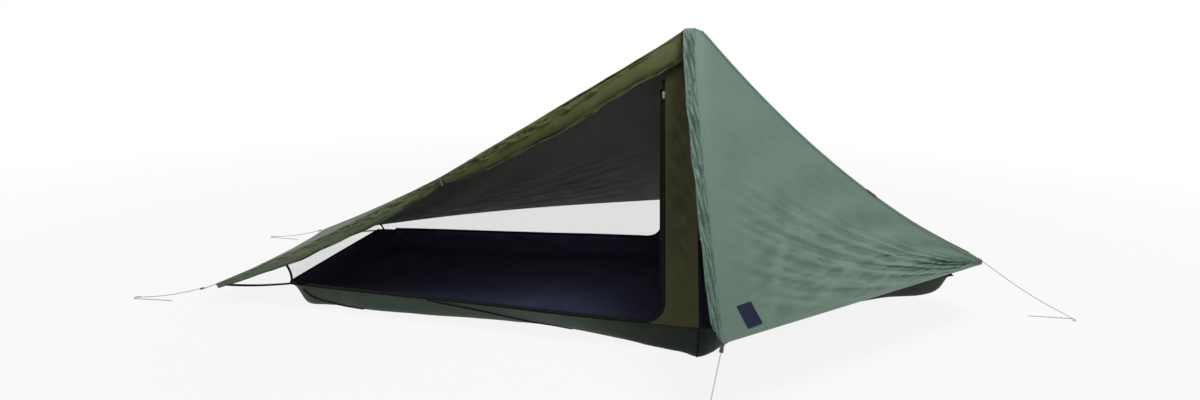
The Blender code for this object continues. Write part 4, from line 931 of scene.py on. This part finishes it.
def addGuylines():
    s, fine = shares(9), shares(61)
    for word, (corner, peg, reach) in lineEnds().items():
        peg = peg + upward * (lines["pegRadius"] + lines["gap"])
        ahead = unit(peg - corner)
        start = corner + ahead * (lines["lockGap"] + reach + 2 * lines["lockLength"] + lines["gap"])
        stop = peg - ahead * (lines["pegRadius"] + 2 * lines["gap"])
        route = between(start, stop, s)
        drop = np.linalg.norm(stop - start) * lines["sag"]
        route[:, 2] -= np.minimum(drop * hump(s), route[:, 2] - stop[2])
        path = np.stack([np.interp(fine, s, route[:, k]) for k in range(3)], axis=1)
        addCord(
            word + "Cord", path, lines["radius"], "cord", "line", word + "_guyline",
        )


addGuylines()
print("guylines done")


# Fly: one continuous roof, the doors that hang from its ridges, and the flaps over their zips
def roofRows():
    # places along the ridge, close together near the peak
    x = np.concatenate([
        np.linspace(-fly["footReach"], -0.25, 130), np.linspace(-0.24, 0.22, 74),
        np.linspace(0.235, fly["headReach"], 72),
    ])
    return (x + fly["footReach"]) / (fly["footReach"] + fly["headReach"])


def seamBand(surface, count, span, side, out):
    # the felled seam that straddles a ridge, a little above the cloth
    band = edgeBand(surface, "low", fly["seamWidth"], count, span, side, 4, -fly["seamOver"])
    return band, clothPart(band, fly["seamDepth"], out, fly["seamLift"], 0)


def hemPart(surface, edge, width, count, span, side, out, columns=4, mark=0):
    # a hem along one edge of a surface, a little above the cloth
    band = edgeBand(surface, edge, width, count, span, side, columns)
    return clothPart(band, fly["hemDepth"], out, fly["hemLift"], mark)


def addHeadDoor(side, word):
    # the door with its seam and hem, and the flap that hangs over its zip
    out = np.array([0.25, side * 0.8, 0.5])
    grid = spanned(doorSurface, shares(130) ** 1.15, 80, side)
    cloth = clothPart(grid, fly["thickness"], out)
    door = addPiece(word + "HeadDoor", cloth, "door doorInside", "door_cloth", word + "_head_door")
    ridgeBand, tape = seamBand(doorSurface, 160, (0.02, 1), side, out)
    # a knot of thread lies on the seam past its middle
    knot = ridgeBand[94:100].mean(axis=1) + upward * fly["knotLift"]
    seam = addPiece(word + "HeadSeam", [tape, tubePart(knot, fly["knotRadius"])], "roofSeam", "roof_cloth")
    edge = hemPart(doorSurface, "high", fly["hemWidth"], 130, (0.01, 1), side, out)
    hem = addPiece(word + "HeadHem", edge, "doorSeam", "door_cloth")
    flapGrid = spanned(flapSurface, 18, 190, side)
    cloth = clothPart(flapGrid, fly["thickness"], out)
    flap = addPiece(word + "StormFlap", cloth, "flap doorInside", "flap_cloth", word + "_storm_flap")
    edge = hemPart(flapSurface, "end", fly["flapRim"], 190, (0, 1), side, out, 3)
    rim = addPiece(word + "FlapRim", edge, "flap", "flap_cloth")
    join = spanned(flapSurface, np.linspace(-0.12, 0.02, 4), 150, side)
    join = clothPart(join, fly["seamDepth"], out, fly["joinLift"], 0)
    join = addPiece(word + "FlapSeam", join, "doorSeam", "flap_cloth")
    declareCloth(door, grid)
    declareCloth(flap, flapGrid)


def farFootSurface(p, r):
    # the door's surface on the foot side of the peak
    return doorSurface(p, r, False)


def addFly():
    # the roof over both ridges, the head doors, and the closed door at the foot
    roofGrid = spanned(roofSurface, roofRows(), 40)
    roof = addPiece(
        "flyRoof", clothPart(roofGrid, fly["thickness"], upward), "roof roofInside", "roof_cloth",
        "peak_cap", "fly_roof_foot", "fly_roof_head",
    )
    for side, word in sides:
        addHeadDoor(side, word)
    # the taped seam where the rolled door joins the roof
    toPeak = (fly["footReach"] + fly["capSplit"]) / (fly["footReach"] + fly["headReach"])
    tape = seamBand(roofSurface, 260, (0, toPeak), -1, upward)[1]
    seam = addPiece("nearFootSeam", tape, "roofSeam", "roof_cloth")
    declareCloth(roof, roofGrid)

    grid = spanned(farFootSurface, np.linspace(0.004, 1, 150), 70, 1)
    out = np.array([-0.15, 0.8, 0.55])
    cloth = clothPart(grid, fly["thickness"], out)
    farDoor = addPiece("farFootDoor", cloth, "door doorInside", "door_cloth", "far_foot_door")
    tape = seamBand(farFootSurface, 170, (0.02, 1), 1, out)[1]
    edge = hemPart(farFootSurface, "high", fly["hemWidth"], 150, (0.01, 1), 1, out, 4, 1)
    trim = addPiece("farFootTrim", [tape, edge], "roofSeam doorSeam", "door_cloth")
    declareCloth(farDoor, grid)


addFly()
print("fly done")


# Open door: rolled along its ridge and tied near the middle
def spiralSurface(p, r):
    # the roll's outer turn as in rollSurface, then two more turns that close in on its middle
    first = roll["sweep"] / (roll["sweep"] + roll["innerTurns"] * 360)
    outer = rollSurface(p, capped(r / first))
    centre, down, out, depth, breadth = rollCentre(rollPlace(p))
    past = capped((r - first) / (1 - first))
    angle = math.radians(roll["sweep"] / 2 - roll["sweep"]) - math.radians(360 * roll["innerTurns"]) * past
    size = roll["innerSize"] - roll["innerShrink"] * past
    inward = (
        centre + down * (np.cos(angle) * depth / 2 * size)[..., None]
        + out * (np.sin(angle) * breadth / 2 * size)[..., None]
    )
    return np.where((r > first)[..., None], inward, outer)


def addRoll():
    p = shares(460)
    r = np.concatenate([np.linspace(0, 0.36, 80), np.linspace(0.37, 1, 50)])
    grid = spanned(spiralSurface, p, r)
    # its first edge is tucked in under the roof, so that no light shows between them
    seam, down, out = rollFrame(rollPlace(p))
    grid[:, 0] = seam + down * roll["gap"] - out * roll["tuck"]
    turn = slice(5, 80)
    outward = np.zeros_like(grid)
    outward[:, turn] = grid[:, turn] - grid[:, turn].mean(axis=1, keepdims=True)
    cloth = clothPart(grid, fly["thickness"] * 0.8, outward)
    made = addPiece("rolledFootDoor", cloth, "rolled roofInside", "roof_cloth", "near_foot_door_roll")
    declareCloth(made, grid)


def addTie():
    # a loop of cord round the roll, through the toggle at its front
    centre, down, out, deep, broad = rollCentre(np.array([roll["tiePlace"]]))
    angles = np.linspace(math.radians(140), math.radians(-140), 17)
    clear = roll["tieRadius"] + roll["tieGap"]
    ring = centre + down * (np.cos(angles) * (deep / 2 + clear))[:, None]
    ring = ring + out * (np.sin(angles) * (broad / 2 + clear))[:, None]
    addCord("rollTie", ring, roll["tieRadius"], "darkCord", "binding", "door_tie")


addRoll()
addTie()
print("rolled door done")


# Inner tent: bathtub, netting, side panels, zips
def refined(cage, rowSteps, columnSteps):
    # Catmull-Rom curves through the cage, first along its rows and then along its columns
    def spline(points, steps):
        count = len(points)
        t = np.linspace(0, count - 1, (count - 1) * steps + 1)
        k = np.clip(t.astype(int), 0, count - 2)
        u = (t - k).reshape(-1, *([1] * (points.ndim - 1)))
        before, here, after, beyond = (points[np.clip(k + j, 0, count - 1)] for j in (-1, 0, 1, 2))
        first, last = (after - before) / 2, (beyond - here) / 2
        rest = after - here
        return here + u * (first + u * (3 * rest - 2 * first - last + u * (first + last - 2 * rest)))
    return spline(spline(cage, rowSteps).swapaxes(0, 1), columnSteps).swapaxes(0, 1)


# Piped seams on the bathtub's long walls: station along the floor in metres and share of the wall's height
tubSeams = (
    np.array([[-1.5, 0.78], [-1.47, 0.55], [-1.42, 0.36], [-1.36, 0.22], [-1.25, 0.08]]),
    np.array([[-0.96, 0.93], [-0.912, 0.84], [-0.814, 0.71], [-0.716, 0.59], [-0.541, 0.27], [-0.4, 0.06]]),
    np.array([[0.055, 0.06], [0.058, 0.4], [0.06, 0.94]]),
)


def wallLine(line, grid):
    # a seam's points on the bathtub's own near wall, whose columns 0 to 9 run from the rim to the floor
    s = shares(60)
    x, share = (np.interp(s, shares(len(line)), line[:, k]) for k in (0, 1))
    column = 9 * (1 - share)
    first = np.clip(column.astype(int), 0, 8)
    part = (column - first)[:, None]
    curves = grid[1:-1, first] * (1 - part) + grid[1:-1, first + 1] * part
    return np.stack([at(curves[:, k], x[k]) for k in range(len(s))]) - np.array([0, inner["pipeOut"], 0])


def rimLoop(grid):
    # once round a grid's edge, from its first corner back to the place before it
    return np.concatenate([grid[:, 0], grid[-1, 1:], grid[-2::-1, -1], grid[0, -2:0:-1]])


def addTub():
    grid = refined(tubCage(), 8, 9)
    rows, columns = grid.shape[:2]
    a, b = np.meshgrid(shares(rows), shares(columns), indexing="ij")
    wall = np.clip(np.abs(b - 0.5) * 2 - 0.62, 0, 0.38) / 0.38
    rim = capped((1 - np.abs(b - 0.5) * 2) / 0.03)
    crease = smoothNoise(a * 14, b * 3, 61, 8, 1.0, 6.0)
    grid[..., 1] += np.sign(b - 0.5) * inner["wallCrease"] * crease * wall * rim
    rise = inner["floorCrease"] * (1 + crease) * (1 - wall) + inner["wallCrease"] / 2 * crease * wall
    grid[..., 2] += rise * rim
    grid[..., 2] = np.maximum(grid[..., 2], inner["floorClear"])
    cloth = clothPart(grid, inner["thickness"], upward, 0.0, (1, 0, 0))
    tub = addPiece("bathtubFloor", cloth, "tub tubInside", "floor_cloth", "bathtub_floor")
    ring = rimLoop(grid) + upward * inner["ringLift"]
    paths = [mirrored(wallLine(line, grid), side) for line in tubSeams for side in (-1, 1)]
    pipings = [tubePart(path, inner["pipeRadius"], 8) for path in paths]
    trim = addPiece("bathtubBinding", [tubePart(ring, inner["rimRadius"], 8), *pipings], "binding", "binding")
    declareCloth(tub, grid)


def addNet(name, surface, counts, side, out, bound, node, body="tent"):
    # a netting panel, with a bound edge wherever it is stitched to tape; bound gives each edge its span
    grid = spanned(surface, *counts, side)
    parts = [clothPart(grid, inner["netThickness"], out, 0.0, 0)]
    for edge, span in bound.items():
        band = edgeBand(surface, edge, inner["bindingWidth"], 90, span, side, 3)
        parts.append(clothPart(band, inner["bindingDepth"], out, 0.0, 1))
    declareCloth(addPiece(name, parts, "net binding", "netting", node, body=body), grid)


def addNets():
    # the inner tent's netting and its plain panels, each stretched under the roof
    whole = (0.0, 1.0)
    for side, word in sides:
        out = np.array([0, side * 1.0, 0.3])
        # the door's binding stops short of the hinge, to clear the zip tape when the door is lifted
        addNet(
            word + "NetDoor", netDoorSurface, (90, 56), side, out, dict(end=(0.0, 0.97)),
            word + "_net_door", word + "_net_door",
        )
        addNet(
            word + "TopNet", topNetSurface, (120, 14), side, out, dict(start=whole, high=whole),
            word + "_top_net",
        )
        addNet(
            word + "HeadNet", headNetSurface, (80, 40), side, out, dict(start=whole, high=whole, low=whole),
            word + "_head_net",
        )
        grid = spanned(sidePanelSurface, 22, 120, side)
        cloth = clothPart(grid, inner["panelThickness"], out, 0.0, 0)
        panel = addPiece(word + "SidePanel", cloth, "panel", "panel_cloth", word + "_side_panel")
        declareCloth(panel, grid)
    ends = ((-inner["topFoot"], "footNet", "foot_net"), (inner["topHead"], "headEndNet", "end_net"))
    for reach, name, node in ends:
        out = np.array([math.copysign(1, reach), 0, 0.2])
        addNet(name, endNetSurface(reach), (50, 24), -1, out, dict(low=whole, high=whole), node)


def addZips():
    # tape on both sides of the zip's line, with the coil between its two rows
    for side, word in sides:
        out = np.array([0, side * 1.0, 0.3])
        outer, innerEdge = zipPath(inner["gap"]), zipPath(inner["tapeWidth"] + inner["gap"])
        grid = mirrored(between(outer[:, None], innerEdge[:, None], shares(6)), side)
        normal = gridNormals(grid)[:, 2]
        normal = normal * np.sign(np.sum(normal * out, axis=1, keepdims=True))
        coil = mirrored((outer + innerEdge) / 2, side) + normal * inner["coilLift"]
        tape = clothPart(grid, inner["tapeDepth"], out, 0.0, 0)
        piece = addPiece(word + "ZipTape", tape, "zipTape", "black_plastic", word + "_zip_tape")
        teeth = addPiece(word + "ZipCoil", tubePart(coil, inner["coilRadius"], 8), "zipCoil", "black_plastic")
        declareCloth(piece, grid)


addTub()
addNets()
addZips()
print("inner tent done")


# Webbing, patch, sliders and the hard pieces
trim = dict(
    strapWidth=0.02, strapDepth=0.0016, strapGap=0.0006, strapDrop=0.0038, seamShare=0.985,
    patchDepth=0.0012, patchLift=0.0014, patchRimLift=0.0018, patchRimRadius=0.0011, wristWidth=0.014,
    wristDepth=0.0016, wristLength=0.13, wristHalf=0.012, wristSpread=0.004, tabDepth=0.0014,
    tabDrop=0.0008, tabEdge=0.0006, tabQuilt=0.0002,
)
patchCorners = np.array([[0.049, 0.92], [0.09, 0.913], [0.114, 0.977], [0.073, 0.981]])


def addStrap(name, path, normals, width, depth, node):
    # a webbing strap that stands for its CAD node
    piece = addPiece(name, stripPart(path, normals, width, depth), "strap", "binding", node)


def addStraps():
    # from the bathtub's rim up to the fly's seam, in a slight sag at the foot
    s = shares(60)
    rim = rimEdge()
    flat = np.tile(upward, (len(s), 1))
    width, depth, gap, drop = (trim[key] for key in ("strapWidth", "strapDepth", "strapGap", "strapDrop"))
    start = rim[0] + np.array([-gap, width / 2, -drop / 2])
    x = -fly["capFootReach"] - (fly["footReach"] - fly["capFootReach"]) * trim["seamShare"]
    stop = at(ridge, x) + np.array([0, width, -drop])
    path = between(start, stop, s)
    path[:, 2] -= width / 3 * hump(s)
    for side, word in sides:
        addStrap(
            word + "FootStrap", mirrored(path, side), flat, width, depth, word + "_foot_strap",
        )
    start = np.array([inner["topHead"] + gap, 0, rim[-1, 2] - drop / 2])
    x = fly["capHeadReach"] + (fly["headReach"] - fly["capHeadReach"]) * trim["seamShare"]
    stop = at(ridge, x) * np.array([1.0, 0.0, 1.0]) - upward * drop
    addStrap(
        "headStrap", between(start, stop, s), flat, width, depth, "head_strap",
    )


def patchSurface(p, r):
    # the door's own surface between four corners
    high = between(patchCorners[0], patchCorners[1], p)
    low = between(patchCorners[3], patchCorners[2], p)
    spot = between(high, low, r)
    return doorSurface(spot[..., 0], spot[..., 1])


def addPatch():
    # a badge with a merrowed rim round it
    out = np.array([0.3, -0.8, 0.5])
    grid = spanned(patchSurface, 24, 24)
    rim = np.concatenate([rimLoop(grid), grid[:2, 0]])
    lift = gridNormals(grid).mean(axis=(0, 1))
    lift = unit(lift * np.sign(np.dot(lift, out)))
    parts = [
        clothPart(grid, trim["patchDepth"], out, trim["patchLift"], 0),
        tubePart(rim + lift * trim["patchRimLift"], trim["patchRimRadius"], 8, 1),
    ]
    piece = addPiece("doorPatch", parts, "patch patchRim", "patch_cloth", "door_patch")
    declareCloth(piece, grid)


def addWristStraps():
    # a drop-shaped loop: half width sin(t/2)(1-sin t), hanging by (1-cos t)/2 of its length
    out, down = np.array([1.0, 0.0, 0.0]), -upward
    turn = np.linspace(0, 2 * math.pi, 90)
    swing = trim["wristHalf"] * np.sin(turn / 2) * (1 - np.sin(turn))
    swing = swing + trim["wristSpread"] * turn / (2 * math.pi)
    drop = trim["wristLength"] * (1 - np.cos(turn)) / 2
    half = trim["wristDepth"] / 2
    for word in ("near", "far"):
        low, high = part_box(word + "_wrist_strap")
        top = np.array([low[0] + half, (low[1] + high[1]) / 2, high[2] - half])
        path = top + out * swing[:, None] + down * drop[:, None]
        normals = np.cross(unit(np.gradient(path, axis=0)), unit(np.cross(out, down)))
        addStrap(
            word + "WristStrap", path, normals, trim["wristWidth"], trim["wristDepth"], word + "_wrist_strap",
        )


def addTabs():
    # a reinforced square on the floor that takes the pole's tip: a superellipse of power 8, edges turned down
    a, b = np.meshgrid(np.linspace(-1, 1, 28), np.linspace(-1, 1, 28), indexing="ij")
    square = np.maximum(np.abs(a), np.abs(b))
    shrink = 1 / np.maximum((np.abs(a) ** 8 + np.abs(b) ** 8) ** (1 / 8) / square.clip(1e-6), 1.0)
    top = capped((1 - square) / 0.12)
    for word in ("near", "far"):
        low, high = (np.array(v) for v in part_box(word + "_pole_tab"))
        middle, half = (low + high) / 2, (high - low) / 2
        z = high[2] - trim["tabDrop"] - trim["tabEdge"] * (1 - top) + trim["tabQuilt"] * np.cos(40 * a) * top
        grid = np.stack([middle[0] + half[0] * a * shrink, middle[1] + half[1] * b * shrink, z], axis=-1)
        part = clothPart(grid, trim["tabDepth"], upward, 0.0, 0)
        piece = addPiece(word + "PoleTab", part, "strap", "binding", word + "_pole_tab")


zipSlider = dict(
    half=0.0058, waist=0.0016, length=0.0125, shift=0.002, depth=0.0027, bridge=0.006, bridgeFoot=0.0022,
    bridgeRise=0.0022, wire=0.0008, pullLift=0.0038, pullWidth=0.0062, pullDepth=0.0012, pullStart=-0.001,
    pullEnd=0.016,
)


def sliderBody(centre, run, beside, out):
    # rounded oblong rings, narrowed at the waist and toward both ends
    s = np.linspace(-1, 1, 26)
    half = zipSlider["half"] - zipSlider["waist"] * np.exp(-((s - 0.25) / 0.35) ** 2)
    edge = capped((1 - np.abs(s)) / 0.1) ** 0.5
    turn = np.linspace(0, 2 * math.pi, 22, endpoint=False)
    wide, tall = (np.sign(wave) * np.abs(wave) ** 0.55 for wave in (np.cos(turn), np.sin(turn)))
    ring = (
        centre + run * (s * zipSlider["length"] - zipSlider["shift"])[:, None, None]
        + beside * (half * (0.55 + 0.45 * edge))[:, None, None] * wide[None, :, None]
        + out * (zipSlider["depth"] * (0.4 + 0.6 * edge))[:, None, None] * tall[None, :, None]
    )
    faces = ringFaces(*ring.shape[:2])
    points = ring.reshape(-1, 3)
    return dict(points=points, faces=faces, uv=np.zeros((len(points), 2)), marks=np.zeros(len(faces), int))


def addSliders():
    # a waisted slider body over the coil, with a flat pull that hangs from its bridge
    bridge = np.linspace(0, math.pi, 15)
    for side, word in sides:
        centre = np.array([v.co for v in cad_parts[word + "_slider"].data.vertices]).mean(axis=0)
        low, high = wallPoint(np.ones(2), np.array([0.2, 0.96]))
        run = mirrored(unit(low - high), side)
        out = np.array([0.0, side * 1.0, 0.0])
        out = unit(out - run * np.dot(out, run))
        arch = centre - run * (np.cos(bridge) * zipSlider["bridge"])[:, None]
        arch = arch + out * (zipSlider["bridgeFoot"] + np.sin(bridge) * zipSlider["bridgeRise"])[:, None]
        reach = np.linspace(zipSlider["pullStart"], zipSlider["pullEnd"], 24)
        hang = centre + out * zipSlider["pullLift"] + run * reach[:, None]
        parts = [
            sliderBody(centre, run, np.cross(run, out), out), tubePart(arch, zipSlider["wire"], 8),
            stripPart(hang, np.tile(out, (24, 1)), zipSlider["pullWidth"], zipSlider["pullDepth"]),
        ]
        node = word + "_slider"
        recalculated(addPiece(word + "Slider", parts, "slider", "zip_slider", node, body=node))


def recalculated(piece):
    # turns every face outward on a piece of several closed shells
    shape = bmesh.new()
    shape.from_mesh(piece.data)
    bmesh.ops.recalc_face_normals(shape, faces=shape.faces)
    shape.to_mesh(piece.data)
    shape.free()


def dressNodes():
    # CAD pieces whose shape is right keep it, and take the material of the real piece
    chosen = dict(
        pole_lower="shaft", pole_upper="shaft", pole_grip="grip", pole_cup="black", pole_lever="black",
        ridge_strut="shaft", tightener="black", peg="peg", door_toggle="black",
    )
    for name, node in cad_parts.items():
        for word, key in chosen.items():
            if name.endswith(word):
                node.data.materials.clear()
                node.data.materials.append(finish[key])


addStraps()
addPatch()
addWristStraps()
addTabs()
addSliders()
dressNodes()
print("hardware done")


# Floor, light and world
stage = dict(
    floorSize=60.0, shine=0.88, clearFrom=1.6, clearTo=6.0, worldStrength=0.36, lampPower=185.0, lampSize=2.0,
    lampPlace=(1.4, -0.5, 5.2), lampAim=(-0.3, 0.0, 0.4), floorGrey=0.6,
)
white = (1.0, 1.0, 1.0, 1.0)


def whiteShare(tree, strength):
    # the given share to the camera, to reflections and through nets, and none to everything else
    path = addNode(tree, "LightPath")
    seen = path.outputs["Is Camera Ray"]
    for ray in ("Is Glossy Ray", "Is Transmission Ray"):
        seen = addNode(tree, "Math", [seen, path.outputs[ray]], operation="MAXIMUM").outputs[0]
    return addNode(tree, "Math", [seen, strength], operation="MULTIPLY")


def addFloor():
    # a dull floor that turns whiter outward
    half = stage["floorSize"] / 2
    mesh = bpy.data.meshes.new("floor")
    corners = [(-half, -half, 0), (half, -half, 0), (half, half, 0), (-half, half, 0)]
    mesh.from_pydata(corners, [], [(0, 1, 2, 3)])
    made = bpy.data.materials.new("paleFloor")
    made.use_nodes = True
    tree = made.node_tree
    tree.nodes.remove(tree.nodes["Principled BSDF"])
    grey = (*[stage["floorGrey"]] * 3, 1.0)
    dull = addNode(tree, "BsdfDiffuse", {"Color": grey})
    glow = addNode(tree, "Emission", {"Color": white, "Strength": 1.0})
    # the floor's white share grows from beside the tent outward, so that the floor has no far edge
    spot = addNode(tree, "TexCoord")
    away = addNode(tree, "VectorMath", [spot.outputs["Object"]], operation="LENGTH")
    reach = [stage[key] for key in ("clearFrom", "clearTo", "shine")]
    strength = addNode(tree, "MapRange", [away.outputs["Value"], *reach, 1.0])
    both = addNode(tree, "MixShader", [whiteShare(tree, strength), dull, glow])
    tree.links.new(both.outputs[0], tree.nodes["Material Output"].inputs["Surface"])
    mesh.materials.append(made)
    addObject("floor", mesh)


def addWorld():
    # soft light from all round, and plain white to the camera
    world = bpy.data.worlds.new("studio")
    world.use_nodes = True
    bpy.context.scene.world = world
    tree = world.node_tree
    soft = tree.nodes["Background"]
    soft.inputs["Color"].default_value = white
    soft.inputs["Strength"].default_value = stage["worldStrength"]
    plain = addNode(tree, "Background", {"Color": white, "Strength": 1.0})
    both = addNode(tree, "MixShader", [whiteShare(tree, 1.0), soft, plain])
    tree.links.new(both.outputs[0], tree.nodes["World Output"].inputs["Surface"])


def addLamp():
    # a square softbox that looks at its aim
    lamp = bpy.data.lights.new("softbox", "AREA")
    lamp.energy, lamp.size = stage["lampPower"], stage["lampSize"]
    place = np.array(stage["lampPlace"])
    back = unit(place - np.array(stage["lampAim"]))
    side = unit(np.cross(upward, back))
    addObject("softbox", lamp).matrix_world = stoodAt(side, np.cross(back, side), back, place)


addFloor()
addWorld()
addLamp()
bpy.context.scene.view_settings.view_transform = "Standard"
print("stage done")
